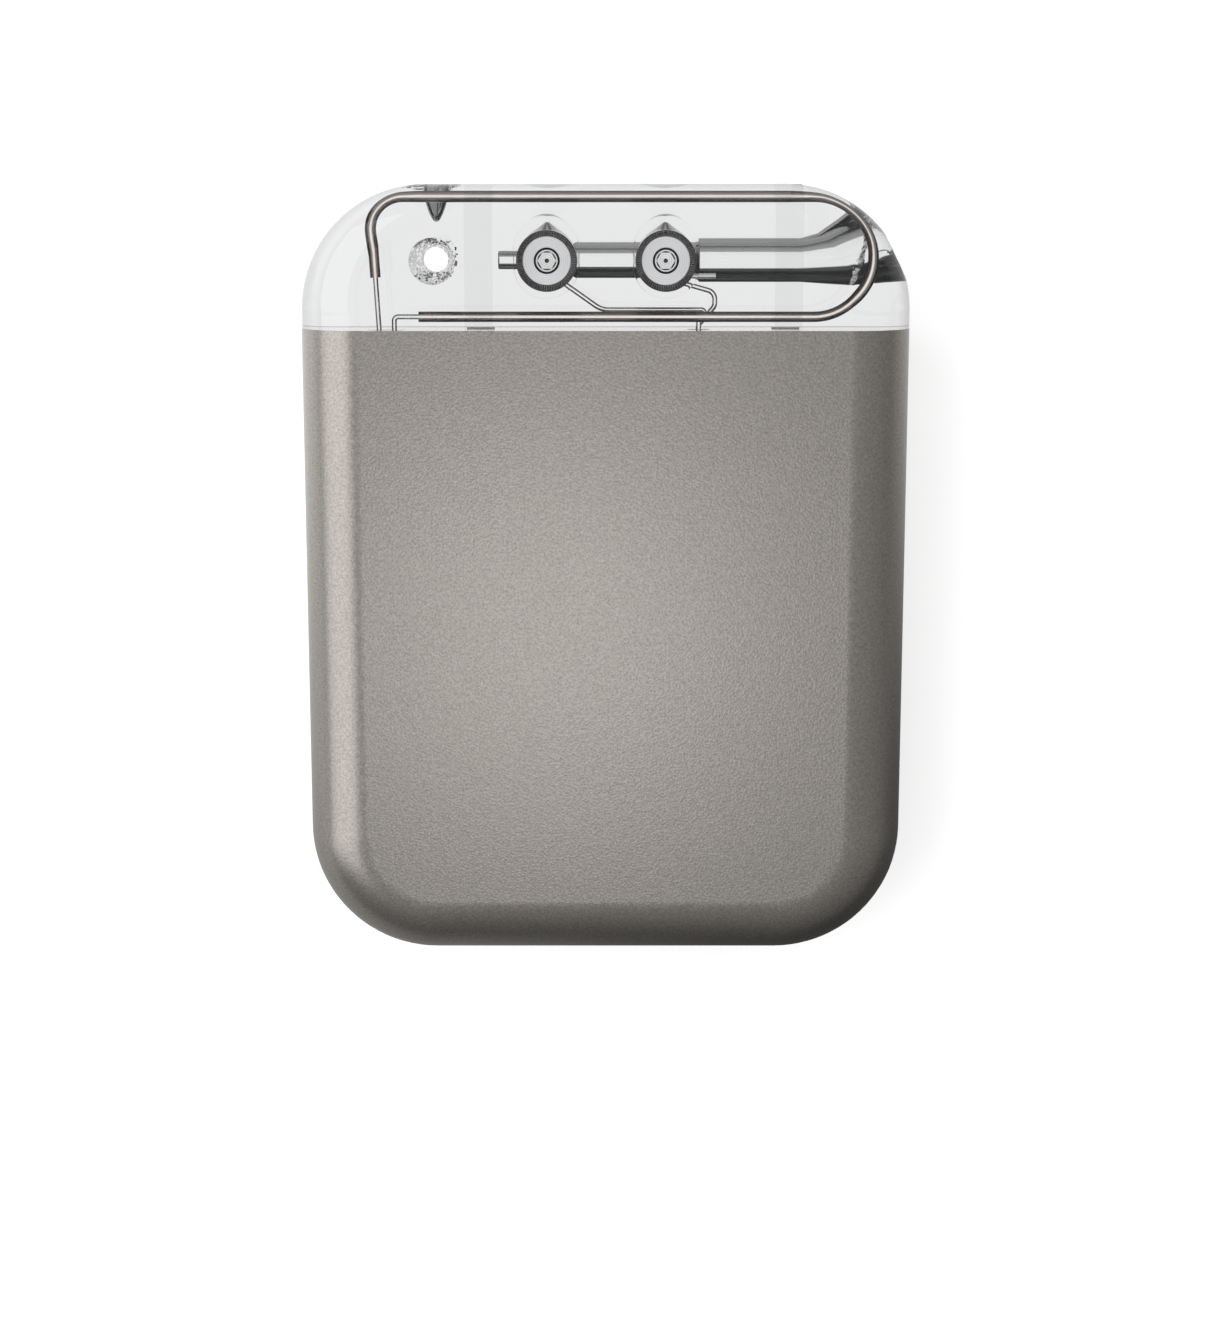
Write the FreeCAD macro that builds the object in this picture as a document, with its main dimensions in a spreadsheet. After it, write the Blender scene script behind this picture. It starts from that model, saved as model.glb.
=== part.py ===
import FreeCAD, Part
import math
import os

import Sketcher

# Implantable pulse generator, lying on its back. X runs across the case, Y towards the header's top,
# Z out of the front face. The origin is the middle of the outline, on the surface it lies on.

doc = FreeCAD.newDocument("PulseGenerator")
Vector = FreeCAD.Vector
Rotation = FreeCAD.Rotation
Placement = FreeCAD.Placement
UP_Y = Rotation(Vector(1, 0, 0), -90)
ALONG_X = Rotation(Vector(0, 1, 0), 90)
TURNED_OVER = Rotation(Vector(0, 1, 0), 180)

# Driving sizes in millimetres. The overrun is how far a cutting shape runs past what it cuts.

SIZES = {
    # Case and header envelope
    "body_width": 47.0,
    "body_height": 60.5,
    "body_depth": 10.5,
    "overrun": 1.0,
    "header_height": 10.95,
    "case_corner": 10.0,
    "seam_flat": 0.35,
    "shell_wall": 0.35,
    "header_corner": 9.8,
    "header_edge": 2.8,
    # Backing strip behind the welded seam
    "band_width": 2.4,
    "band_wall": 0.25,
    "band_gap": 0.12,
    # Lead passage; heights are above the case's top
    "bore_rise": 5.2,
    "pin_bore": 1.38,
    "ring_bore": 2.7,
    "seal_bore": 3.3,
    "bore_chamfer": 0.3,
    "step_sink": 0.3,
    "pin_bore_reach": 3.75,
    "funnel_inset": 8.62,
    "funnel_length": 4.1,
    "funnel_rise": 0.5,
    "funnel_width": 4.85,
    "funnel_tilt": 10.8,
    "mouth_width": 5.6,
    "mouth_rise": 0.35,
    "mouth_length": 7.0,
    # Connector blocks
    "pin_block_inset": 19.05,
    "block_pitch": 9.02,
    "block_width": 4.62,
    "block_front": 3.95,
    "block_back": 2.6,
    "rim_width": 4.5,
    "seat_width": 3.65,
    "seat_depth": 1.0,
    "nub_width": 3.0,
    "nub_height": 0.55,
    "nub_sink": 0.45,
    "nub_tip": 0.3,
    "lug_width": 0.4,
    "lug_length": 1.5,
    "lug_drop": 1.15,
    "lug_front": 2.05,
    # Setscrews
    "tap_width": 2.0,
    "thread_gap": 0.02,
    "screw_length": 1.45,
    "screw_inset": 0.05,
    "screw_chamfer": 0.12,
    "socket_flats": 1.1,
    "socket_depth": 0.8,
    # Septum plugs
    "plug_width": 5.0,
    "plug_height": 6.2,
    "plug_shift": 0.3,
    "nose_width": 3.4,
    "nose_length": 0.5,
    # Suture hole and moulded dimples
    "suture_inset": 10.45,
    "suture_waist": 1.85,
    "suture_mouth": 3.5,
    "waist_length": 1.0,
    "deep_inset": 10.6,
    "deep_width": 4.0,
    "deep_depth": 2.87,
    "shallow_width": 3.3,
    "shallow_depth": 1.1,
    # Translucent strips and their metal feet
    "strip_width": 2.12,
    "strip_depth": 0.15,
    "left_strip_inset": 13.93,
    "right_strip_inset": 9.68,
    "anchor_length": 0.8,
    "anchor_height": 0.12,
    # Loop antenna
    "antenna_setback": 2.05,
    "wire_width": 0.38,
    "sleeve_width": 0.8,
    "sleeve_gap": 0.03,
    "loop_top": 1.3,
    "loop_rise": 1.0,
    "loop_side": 3.45,
    "loop_left_inset": 5.75,
    "loop_left_bend": 2.4,
    "loop_flat": 0.1,
    "tail_bend": 0.3,
    "sleeve_start": 3.95,
    "sleeve_end_inset": 9.3,
    # Wires from the blocks
    "exit_side": 1.3,
    "exit_drop": 1.7,
    "run_rise": 1.5,
    "run_reach": 4.15,
    "run_bend": 1.8,
    "hook_reach": 0.65,
    "hook_bend": 0.22,
    "knee_rise": 0.65,
    "ring_knee_rise": 2.8,
    "ring_knee_reach": 1.25,
    "ring_elbow_rise": 1.75,
    "ring_low_rise": 0.3,
    "ring_bend": 0.7,
    # Feedthroughs
    "antenna_feed_inset": 6.87,
    "antenna_feed_pitch": 1.16,
    "lead_feed_offset": 2.53,
    "lead_feed_setback": 3.5,
    "lead_feed_pitch": 1.2,
    "ferrule_width": 1.6,
    "ferrule_wall": 0.3,
    "ferrule_length": 1.6,
    "flange_width": 0.3,
    "flange_thickness": 0.3,
    "weld_gap": 0.02,
    "pin_rise": 0.15,
    "pin_drop": 0.7,
    # Cell, its tray and pad
    "liner_gap": 0.05,
    "liner_wall": 0.15,
    "liner_edge": 1.2,
    "battery_height": 22.0,
    "pad_thickness": 0.5,
    "terminal_place": -10.0,
    "terminal_setback": 3.9,
    "terminal_width": 0.9,
    "terminal_length": 1.2,
    "seal_width": 2.4,
    "seal_height": 0.35,
    "tab_width": 2.2,
    "tab_wall": 0.15,
    "tab_reach": 1.5,
    "tab_head": 1.2,
    "negative_tab_place": 9.0,
    # Board and the nest that carries it
    "board_gap": 1.75,
    "board_margin": 0.6,
    "board_thickness": 0.8,
    "board_stand": 2.2,
    "board_headroom": 2.35,
    "cradle_gap": 0.05,
    "cradle_floor": 0.8,
    "cradle_edge": 0.4,
    "post_width": 3.0,
    "post_inset": 2.0,
    "peg_width": 1.2,
    "peg_gap": 0.1,
    # Parts on the board. Their shares are of the board's height and of its half width, and a rise is
    # above its low edge.
    "processor_side_share": -0.472,
    "processor_share": 0.576,
    "processor_side": 7.0,
    "processor_thickness": 1.2,
    "output_side_share": 0.444,
    "output_share": 0.545,
    "output_side": 6.0,
    "output_thickness": 1.0,
    "radio_side_share": 0.028,
    "radio_share": 0.636,
    "radio_side": 5.0,
    "radio_thickness": 0.9,
    "chip_chamfer": 0.15,
    "capacitor_across": -13.0,
    "capacitor_rise": 2.9,
    "capacitor_length": 2.0,
    "capacitor_width": 1.25,
    "capacitor_pitch": 2.0,
    "crystal_side_share": 0.028,
    "crystal_share": 0.371,
    "crystal_length": 3.8,
    "crystal_width": 1.6,
    "crystal_thickness": 1.0,
    "inductor_side_share": 0.811,
    "inductor_share": 0.5,
    "inductor_width": 5.0,
    "inductor_core": 3.0,
    "inductor_height": 2.6,
    "inductor_flange": 0.5,
    "switch_across": 7.0,
    "switch_rise": 2.7,
    "switch_width": 1.8,
    "switch_length": 9.0,
    "switch_lead": 0.45,
    "switch_lead_length": 1.6,
    "switch_foot": 0.36,
    # Ribbon from the feedthrough pins to the board
    "flex_thickness": 0.15,
    "flex_reach": 2.0,
    "flex_overlap": 0.8,
}

sheet = doc.addObject("Spreadsheet::Sheet", "Sizes")
for row, (alias, size) in enumerate(SIZES.items(), start=1):
    sheet.set(f"A{row}", alias)
    sheet.set(f"B{row}", str(size))
    sheet.setAlias(f"B{row}", alias)
doc.recompute()


def given(expression):
    """the expression with each size's name turned into its cell"""
    words = expression.split()
    return " ".join(f"Sizes.{word}" if word in SIZES else word for word in words)


def value(expression):
    """what an expression of sizes comes to, in millimetres"""
    return float(sheet.evalExpression(given(expression)))


# Places worked out from the driving sizes. Every word in them stands apart, so that given() can read it.

HALF_WIDTH = "body_width / 2"
HALF_DEPTH = "body_depth / 2"
TOP = "body_height / 2"
BOTTOM = "( 0 - body_height / 2 )"
CASE_TOP = "( body_height / 2 - header_height )"
EDGE = "( body_depth / 2 - seam_flat )"
BORE = f"( {CASE_TOP} + bore_rise )"
ANTENNA_LEVEL = "( body_depth - antenna_setback )"
LEAD_LEVEL = "( body_depth - lead_feed_setback )"
PIN_TOP = f"( {CASE_TOP} + pin_rise )"
INSIDE_TOP = f"( {CASE_TOP} - shell_wall )"


def from_left(inset):
    return f"( {inset} - body_width / 2 )"


PIN_PLACE = from_left("pin_block_inset")
RING_PLACE = f"( {PIN_PLACE} + block_pitch )"
LEAD_FEED = f"( {RING_PLACE} + lead_feed_offset )"
LEFT_STRIP = from_left("left_strip_inset")
RIGHT_STRIP = "( body_width / 2 - right_strip_inset )"
ANTENNA_FEED = from_left("antenna_feed_inset")
LOOP_LEFT = from_left("loop_left_inset")


# Sketch and feature helpers

def new_body(label):
    body = doc.addObject("PartDesign::Body", label)
    body.Label = label
    return body


def place(piece, x="0", y="0", z="0", turn=Rotation()):
    piece.Placement = Placement(Vector(value(x), value(y), value(z)), turn)
    for axis, expression in (("x", x), ("y", y), ("z", z)):
        piece.setExpression(f"Placement.Base.{axis}", given(expression))
    return piece


def new_sketch(body, name, plane="XY_Plane", offset="0"):
    sketch = body.newObject("Sketcher::SketchObject", name)
    support = [part for part in body.Origin.OriginFeatures if part.Role == plane][0]
    sketch.AttachmentSupport = [(support, "")]
    sketch.MapMode = "FlatFace"
    sketch.setExpression("AttachmentOffset.Base.z", given(offset))
    return sketch


def size_constraint(sketch, kind, where, expression):
    index = sketch.addConstraint(Sketcher.Constraint(kind, *where, value(expression)))
    sketch.setExpression(f"Constraints[{index}]", given(expression))


def fix_point(sketch, shape, end, x, y):
    """holds one point of a sketch at a place given by two expressions"""
    if value(x) == 0:
        sketch.addConstraint(Sketcher.Constraint("PointOnObject", shape, end, -2))
    else:
        size_constraint(sketch, "DistanceX", (-1, 1, shape, end), x)
    if value(y) == 0:
        sketch.addConstraint(Sketcher.Constraint("PointOnObject", shape, end, -1))
    else:
        size_constraint(sketch, "DistanceY", (-1, 1, shape, end), y)


def polygon(sketch, points):
    """a closed outline of straight lines through the given places"""
    corners = [Vector(value(x), value(y), 0) for x, y in points]
    lines = []
    for here, there in zip(corners, corners[1:] + corners[:1]):
        lines.append(sketch.addGeometry(Part.LineSegment(here, there), False))
    for line, following in zip(lines, lines[1:] + lines[:1]):
        sketch.addConstraint(Sketcher.Constraint("Coincident", line, 2, following, 1))
    for line, (x, y) in zip(lines, points):
        fix_point(sketch, line, 1, x, y)


def rectangle(sketch, left, right, low, high):
    polygon(sketch, [(left, low), (right, low), (right, high), (left, high)])


def circle(sketch, diameter, x="0", y="0"):
    centre = Vector(value(x), value(y), 0)
    ring = sketch.addGeometry(Part.Circle(centre, Vector(0, 0, 1), value(diameter) / 2), False)
    fix_point(sketch, ring, 3, x, y)
    size_constraint(sketch, "Diameter", (ring,), diameter)


def obround(sketch, width, pitch, x="0", y="0", upright=False):
    """a slot outline: two half circles of the given width, their centres a pitch apart"""
    along = Vector(0, 1, 0) if upright else Vector(1, 0, 0)
    across = Vector(1, 0, 0) if upright else Vector(0, -1, 0)
    middle = Vector(value(x), value(y), 0)
    half, radius = value(pitch) / 2, value(width) / 2
    far, near = middle + along * half, middle - along * half
    heading = math.atan2(across.y, across.x)
    ends = []
    for centre, start in ((far, heading), (near, heading + math.pi)):
        whole = Part.Circle(centre, Vector(0, 0, 1), radius)
        ends.append(sketch.addGeometry(Part.ArcOfCircle(whole, start, start + math.pi), False))
    sides = [
        sketch.addGeometry(Part.LineSegment(far - across * radius, near - across * radius), False),
        sketch.addGeometry(Part.LineSegment(near + across * radius, far + across * radius), False),
    ]
    for line, arc, after in ((sides[0], ends[0], ends[1]), (sides[1], ends[1], ends[0])):
        sketch.addConstraint(Sketcher.Constraint("Tangent", arc, 2, line, 1))
        sketch.addConstraint(Sketcher.Constraint("Tangent", line, 2, after, 1))
    size_constraint(sketch, "Diameter", (ends[0],), width)
    if upright:
        fix_point(sketch, ends[0], 3, x, f"( {y} + {pitch} / 2 )")
        fix_point(sketch, ends[1], 3, x, f"( {y} - {pitch} / 2 )")
    else:
        fix_point(sketch, ends[0], 3, f"( {x} + {pitch} / 2 )", y)
        fix_point(sketch, ends[1], 3, f"( {x} - {pitch} / 2 )", y)


def arch(sketch, width, flat_end, round_end, corner):
    """a rectangle about the Y axis whose far end has two round corners"""
    half, near, far, radius = value(width) / 2, value(flat_end), value(round_end), value(corner)
    way = 1 if far > near else -1
    shoulder = far - way * radius
    quarter = math.pi / 2
    left_start = quarter if way > 0 else 2 * quarter
    right_start = 0 if way > 0 else 3 * quarter
    begin, finish = (2, 1) if way > 0 else (1, 2)
    left_round = Part.Circle(Vector(radius - half, shoulder, 0), Vector(0, 0, 1), radius)
    right_round = Part.Circle(Vector(half - radius, shoulder, 0), Vector(0, 0, 1), radius)
    left, bend_left, end, bend_right, right, base = sketch.addGeometry([
        Part.LineSegment(Vector(-half, near, 0), Vector(-half, shoulder, 0)),
        Part.ArcOfCircle(left_round, left_start, left_start + quarter),
        Part.LineSegment(Vector(radius - half, far, 0), Vector(half - radius, far, 0)),
        Part.ArcOfCircle(right_round, right_start, right_start + quarter),
        Part.LineSegment(Vector(half, shoulder, 0), Vector(half, near, 0)),
        Part.LineSegment(Vector(half, near, 0), Vector(-half, near, 0)),
    ], False)
    for relation in (
        ("Tangent", left, 2, bend_left, begin),
        ("Tangent", bend_left, finish, end, 1),
        ("Tangent", end, 2, bend_right, begin),
        ("Tangent", bend_right, finish, right, 1),
        ("Coincident", right, 2, base, 1),
        ("Coincident", base, 2, left, 1),
        ("Vertical", left),
        ("Vertical", right),
        ("Horizontal", end),
        ("Equal", bend_left, bend_right),
        ("Symmetric", base, 2, base, 1, -2),
    ):
        sketch.addConstraint(Sketcher.Constraint(*relation))
    size_constraint(sketch, "DistanceX", (base, 2, base, 1), width)
    size_constraint(sketch, "Radius", (bend_left,), corner)
    size_constraint(sketch, "DistanceY", (-1, 1, base, 1), flat_end)
    size_constraint(sketch, "DistanceY", (-1, 1, end, 1), round_end)


def route(sketch, corners):
    """an open path of straight runs through (x, y, bend) corners, with a tangent arc at each bend"""
    places = [Vector(value(x), value(y), 0) for x, y, bend in corners]
    bends = [value(bend) for x, y, bend in corners]
    headings = [(there - here).normalize() for here, there in zip(places, places[1:])]
    trims = [0.0]
    for before, after, bend in zip(headings, headings[1:], bends[1:-1]):
        trims.append(bend * math.tan(before.getAngle(after) / 2))
    trims.append(0.0)
    runs = []
    for index, heading in enumerate(headings):
        start = places[index] + heading * trims[index]
        stop = places[index + 1] - heading * trims[index + 1]
        runs.append(sketch.addGeometry(Part.LineSegment(start, stop), False))
    fix_point(sketch, runs[0], 1, *corners[0][:2])
    fix_point(sketch, runs[-1], 2, *corners[-1][:2])
    for index in range(1, len(corners) - 1):
        before, after = headings[index - 1], headings[index]
        turn = 1 if before.cross(after).z > 0 else -1
        start = places[index] - before * trims[index]
        centre = start + Vector(-before.y, before.x, 0) * (turn * bends[index])
        stop = places[index] + after * trims[index]
        low, high = (start, stop) if turn > 0 else (stop, start)
        angles = [math.atan2(end.y - centre.y, end.x - centre.x) for end in (low, high)]
        whole = Part.Circle(centre, Vector(0, 0, 1), bends[index])
        arc = sketch.addGeometry(Part.ArcOfCircle(whole, angles[0], angles[1]), False)
        first, last = (1, 2) if turn > 0 else (2, 1)
        sketch.addConstraint(Sketcher.Constraint("Tangent", runs[index - 1], 2, arc, first))
        sketch.addConstraint(Sketcher.Constraint("Tangent", arc, last, runs[index], 1))
        size_constraint(sketch, "Radius", (arc,), corners[index][2])
        mark = sketch.addGeometry(Part.Point(places[index]), True)
        fix_point(sketch, mark, 1, *corners[index][:2])
        sketch.addConstraint(Sketcher.Constraint("PointOnObject", mark, 1, runs[index - 1]))
        sketch.addConstraint(Sketcher.Constraint("PointOnObject", mark, 1, runs[index]))


def pad(body, sketch, length, midplane=False, backwards=False):
    feature = body.newObject("PartDesign::Pad", sketch.Name + "_pad")
    feature.Profile = sketch
    feature.Midplane = midplane
    feature.Reversed = backwards
    feature.setExpression("Length", given(length))
    return feature


def pocket(body, sketch, length, midplane=False, backwards=False):
    feature = body.newObject("PartDesign::Pocket", sketch.Name + "_pocket")
    feature.Profile = sketch
    feature.Midplane = midplane
    feature.Reversed = backwards
    feature.setExpression("Length", given(length))
    return feature


def revolve(body, sketch, axis="V_Axis"):
    feature = body.newObject("PartDesign::Revolution", sketch.Name + "_turned")
    feature.Profile = sketch
    feature.ReferenceAxis = (sketch, [axis])
    feature.Angle = 360
    return feature


def pipe(body, name, corners, diameters):
    """a round bar, or a tube where two diameters are given, along a route"""
    path = new_sketch(body, name + "_path")
    route(path, corners)
    doc.recompute()
    section = body.newObject("Sketcher::SketchObject", name + "_section")
    section.AttachmentSupport = [(path, "Edge1")]
    section.MapMode = "NormalToEdge"
    for diameter in diameters:
        circle(section, diameter)
    feature = body.newObject("PartDesign::AdditivePipe", name + "_pipe")
    feature.Profile = section
    feature.Spine = (path, [f"Edge{index + 1}" for index in range(len(path.Shape.Edges))])
    return feature


def primitive(kind, name, sizes, x="0", y="0", z="0", turn=Rotation()):
    solid = doc.addObject(kind, name)
    for setting, expression in sizes.items():
        solid.setExpression(setting, given(expression))
    return place(solid, x, y, z, turn)


def box(name, left, right, low, high, back, front):
    sizes = {"Length": f"( {right} ) - ( {left} )",
             "Width": f"( {high} ) - ( {low} )",
             "Height": f"( {front} ) - ( {back} )"}
    return primitive("Part::Box", name, sizes, left, low, back)


def combine(kind, name, shapes):
    joined = doc.addObject(kind, name)
    if kind == "Part::Cut":
        joined.Base, joined.Tool = shapes
    elif kind == "Part::Compound":
        joined.Links = shapes
    else:
        joined.Shapes = shapes
    return joined


def rounded(name, base, picked, first, last=None, kind="Part::Fillet"):
    """rounds or bevels the edges that picked() accepts; last is the size at an edge's far end"""
    doc.recompute()
    chosen = []
    for index, edge in enumerate(base.Shape.Edges, start=1):
        if picked(edge):
            start, stop = value(first), value(last or first)
            chosen.append((index, start, stop))
    feature = doc.addObject(kind, name)
    feature.Base = base
    feature.Edges = chosen
    return feature


def on_level(edge, axis, level):
    """whether a whole edge lies on one level of an axis"""
    ends = [getattr(vertex.Point, axis) for vertex in edge.Vertexes]
    middle = getattr(edge.valueAt((edge.FirstParameter + edge.LastParameter) / 2), axis)
    return all(abs(end - value(level)) < 1e-6 for end in ends + [middle])


def round_pad(body, solid, picked, radius):
    doc.recompute()
    names = [f"Edge{index}" for index, edge in enumerate(solid.Shape.Edges, start=1) if picked(edge)]
    feature = body.newObject("PartDesign::Fillet", body.Name + "_round")
    feature.Base = (solid, names)
    feature.setExpression("Radius", given(radius))
    return feature


PARTS = []


def keep(piece, label):
    """names a finished piece and puts it on the list that is written out"""
    piece.Label = label
    PARTS.append(piece)
    return piece


# Case: two drawn half shells whose rounded rims meet in a short straight wall at the seam

def half_shell(label, turn):
    body = new_body(label)
    outline = new_sketch(body, label + "_outline")
    arch(outline, "body_width", CASE_TOP, BOTTOM, "case_corner")
    blank = pad(body, outline, HALF_DEPTH)
    rim = round_pad(body, blank, lambda edge: on_level(edge, "z", HALF_DEPTH)
                    and not on_level(edge, "y", CASE_TOP), EDGE)
    doc.recompute()
    seam = [f"Face{index}" for index, face in enumerate(rim.Shape.Faces, start=1)
            if abs(face.BoundBox.ZMax) < 1e-6]
    wall = body.newObject("PartDesign::Thickness", label + "_wall")
    wall.Base = (rim, seam)
    wall.Reversed = True
    wall.setExpression("Value", given("shell_wall"))
    return place(body, z=HALF_DEPTH, turn=turn)


def feed_window(body, name, x, level, pitch, upright):
    window = new_sketch(body, name, "XZ_Plane", f"0 - {CASE_TOP}")
    width = "( ferrule_width + 2 * weld_gap )"
    obround(window, width, pitch, x, f"( {level} - {HALF_DEPTH} )", upright)
    pocket(body, window, "2 * shell_wall + overrun", midplane=True)


front_shell = half_shell("front_shell", Rotation())
feed_window(front_shell, "antenna_window", ANTENNA_FEED, ANTENNA_LEVEL, "antenna_feed_pitch", False)
feed_window(front_shell, "lead_window", LEAD_FEED, LEAD_LEVEL, "lead_feed_pitch", True)
keep(front_shell, "front_shell")
keep(half_shell("rear_shell", TURNED_OVER), "rear_shell")

# Backing strip: a U of thin titanium behind the seam of the sides and the bottom

weld_band = new_body("weld_band")
inset = "shell_wall + band_gap"
deeper = "shell_wall + band_gap + band_wall"
band_outer = new_sketch(weld_band, "band_outer")
arch(band_outer, f"( body_width - 2 * ( {inset} ) )", f"( {INSIDE_TOP} - band_gap )",
     f"( {BOTTOM} + {inset} )", f"( case_corner - ( {inset} ) )")
pad(weld_band, band_outer, "band_width", midplane=True)
band_inner = new_sketch(weld_band, "band_inner")
arch(band_inner, f"( body_width - 2 * ( {deeper} ) )", CASE_TOP,
     f"( {BOTTOM} + {deeper} )", f"( case_corner - ( {deeper} ) )")
pocket(weld_band, band_inner, "band_width + overrun", midplane=True)
place(weld_band, z=HALF_DEPTH)
keep(weld_band, "weld_band")

# Header envelope: flush with the case's round sides, with a tighter round along its top.
# The round changes from one to the other along each corner.

CORNER_SIDE = "( body_width / 2 - header_corner )"
CORNER_LEVEL = "( body_height / 2 - header_corner )"


def header_corner(name, side):
    across = CORNER_SIDE if side > 0 else f"( 0 - {CORNER_SIDE} )"
    turn = Rotation(Vector(0, 0, 1), 0 if side > 0 else 90)
    sizes = {"Radius": "header_corner", "Height": "body_depth", "Angle": "90"}
    wedge = primitive("Part::Cylinder", name + "_wedge", sizes, across, CORNER_LEVEL, turn=turn)
    first, last = (EDGE, "header_edge") if side > 0 else ("header_edge", EDGE)
    return rounded(name, wedge, lambda edge: edge.Curve.TypeId == "Part::GeomCircle", first, last)


def header_side(name, side):
    left, right = (CORNER_SIDE, HALF_WIDTH) if side > 0 else (f"0 - {HALF_WIDTH}", f"0 - {CORNER_SIDE}")
    block = box(name + "_block", left, right, CASE_TOP, CORNER_LEVEL, "0", "body_depth")
    outside = HALF_WIDTH if side > 0 else f"0 - {HALF_WIDTH}"
    return rounded(name, block, lambda edge: on_level(edge, "x", outside)
                   and abs(edge.tangentAt(edge.FirstParameter).y) > 0.5, EDGE)


header_bar = box("header_bar", f"0 - {CORNER_SIDE}", CORNER_SIDE, CASE_TOP, TOP, "0", "body_depth")
header_top = rounded("header_top", header_bar, lambda edge: on_level(edge, "y", TOP)
                     and abs(edge.tangentAt(edge.FirstParameter).x) > 0.5, "header_edge")
envelope = combine("Part::MultiFuse", "header_envelope", [
    header_top,
    header_side("left_side", -1),
    header_side("right_side", 1),
    header_corner("left_corner", -1),
    header_corner("right_corner", 1),
])
envelope.Refine = True

# Translucent strips: thin bands inlaid in the header's front face, which follow its rounded top edge


def strip(label, across):
    left = f"( {across} - strip_width / 2 )"
    right = f"( {across} + strip_width / 2 )"
    shoulder = "( body_depth - header_edge )"
    outer = box(label + "_outer", left, right, CASE_TOP, f"{TOP} + overrun", shoulder,
                "body_depth + overrun")
    inner = box(label + "_inner", f"{left} - overrun", f"{right} + overrun", f"{CASE_TOP} - overrun",
                f"{TOP} - strip_depth", "0", "body_depth - strip_depth")
    turned = rounded(label + "_turned", inner, lambda edge: on_level(edge, "y", f"{TOP} - strip_depth")
                     and on_level(edge, "z", "body_depth - strip_depth"), "header_edge - strip_depth")
    bed = combine("Part::Cut", label + "_bed", (outer, turned))
    keep(combine("Part::MultiCommon", label, [envelope, bed]), label)
    return bed


def anchor(label, across):
    foot = box(label, f"( {across} - strip_width / 2 )", f"( {across} + strip_width / 2 )",
               CASE_TOP, f"{CASE_TOP} + anchor_height",
               f"( {HALF_DEPTH} - anchor_length / 2 )", f"( {HALF_DEPTH} + anchor_length / 2 )")
    return keep(foot, label)


cavities = [
    strip("left_strip", LEFT_STRIP),
    strip("right_strip", RIGHT_STRIP),
    anchor("left_anchor", LEFT_STRIP),
    anchor("right_anchor", RIGHT_STRIP),
]

# Connector blocks: short cylinders that face the front, crossed by the lead bore


def block_form(body, lug):
    """the outside of a block: its barrel, the conical nub on top and the ring block's lug"""
    barrel = new_sketch(body, body.Name + "_barrel", offset="0 - block_back")
    circle(barrel, "block_width")
    pad(body, barrel, "block_back + block_front")
    nub = body.newObject("PartDesign::AdditiveCone", body.Name + "_nub")
    nub.setExpression("Radius1", given("nub_width / 2"))
    nub.setExpression("Radius2", given("nub_tip / 2"))
    nub.setExpression("Height", given("nub_sink + nub_height"))
    place(nub, y="block_width / 2 - nub_sink", turn=UP_Y)
    if lug:
        pin = body.newObject("PartDesign::AdditiveCylinder", body.Name + "_lug")
        pin.setExpression("Radius", given("lug_width / 2"))
        pin.setExpression("Height", given("block_width / 2 + lug_length"))
        place(pin, y="0 - lug_drop", z="lug_front", turn=ALONG_X)


def connector_block(label, across, bore, lug):
    body = new_body(label)
    block_form(body, lug)
    seat = new_sketch(body, label + "_seat", "XZ_Plane")
    seat_level = "( block_front - seat_depth )"
    polygon(seat, [("0", "0"), ("tap_width / 2", "0"), ("tap_width / 2", seat_level),
                   ("seat_width / 2", seat_level), ("rim_width / 2", "block_front"), ("0", "block_front")])
    groove = body.newObject("PartDesign::Groove", label + "_tapped_hole")
    groove.Profile = seat
    groove.ReferenceAxis = (seat, ["V_Axis"])
    groove.Angle = 360
    passage = new_sketch(body, label + "_passage", "YZ_Plane")
    circle(passage, bore)
    pocket(body, passage, "block_width + overrun", midplane=True)
    place(body, across, BORE, HALF_DEPTH)
    return keep(body, label)


def block_cavity(label, across, lug):
    body = new_body(label)
    block_form(body, lug)
    return place(body, across, BORE, HALF_DEPTH)


def setscrew(label, across):
    """a headless screw with a hexagon socket, its face just under the block's seat"""
    body = new_body(label)
    face = "( block_front - seat_depth - screw_inset )"
    shank = new_sketch(body, label + "_shank", offset=face)
    circle(shank, "( tap_width - 2 * thread_gap )")
    stem = pad(body, shank, "screw_length", backwards=True)
    doc.recompute()
    ends = [f"Edge{index}" for index, edge in enumerate(stem.Shape.Edges, start=1)
            if edge.Curve.TypeId == "Part::GeomCircle"]
    bevel = body.newObject("PartDesign::Chamfer", label + "_bevel")
    bevel.Base = (stem, ends)
    bevel.setExpression("Size", given("screw_chamfer"))
    socket = new_sketch(body, label + "_socket", offset=face)
    half_flat = "( socket_flats / 2 )"
    half_side = "( socket_flats / 2 * tan(30deg) )"
    reach = "( socket_flats / 2 / cos(30deg) )"
    polygon(socket, [(half_flat, half_side), ("0", reach), (f"0 - {half_flat}", half_side),
                     (f"0 - {half_flat}", f"0 - {half_side}"), ("0", f"0 - {reach}"),
                     (half_flat, f"0 - {half_side}")])
    pocket(body, socket, "socket_depth")
    place(body, across, BORE, HALF_DEPTH)
    return keep(body, label)


def septum(label, across):
    """a clear plug that fills the oval pocket above a block and dips into its countersink"""
    body = new_body(label)
    oval = new_sketch(body, label + "_oval", offset="block_front")
    obround(oval, "plug_width", "( plug_height - plug_width )", "0", "plug_shift", upright=True)
    pad(body, oval, f"{HALF_DEPTH} - block_front")
    nose = new_sketch(body, label + "_nose", offset="block_front")
    circle(nose, "nose_width")
    pad(body, nose, "nose_length", backwards=True)
    place(body, across, BORE, HALF_DEPTH)
    return keep(body, label)


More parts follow.
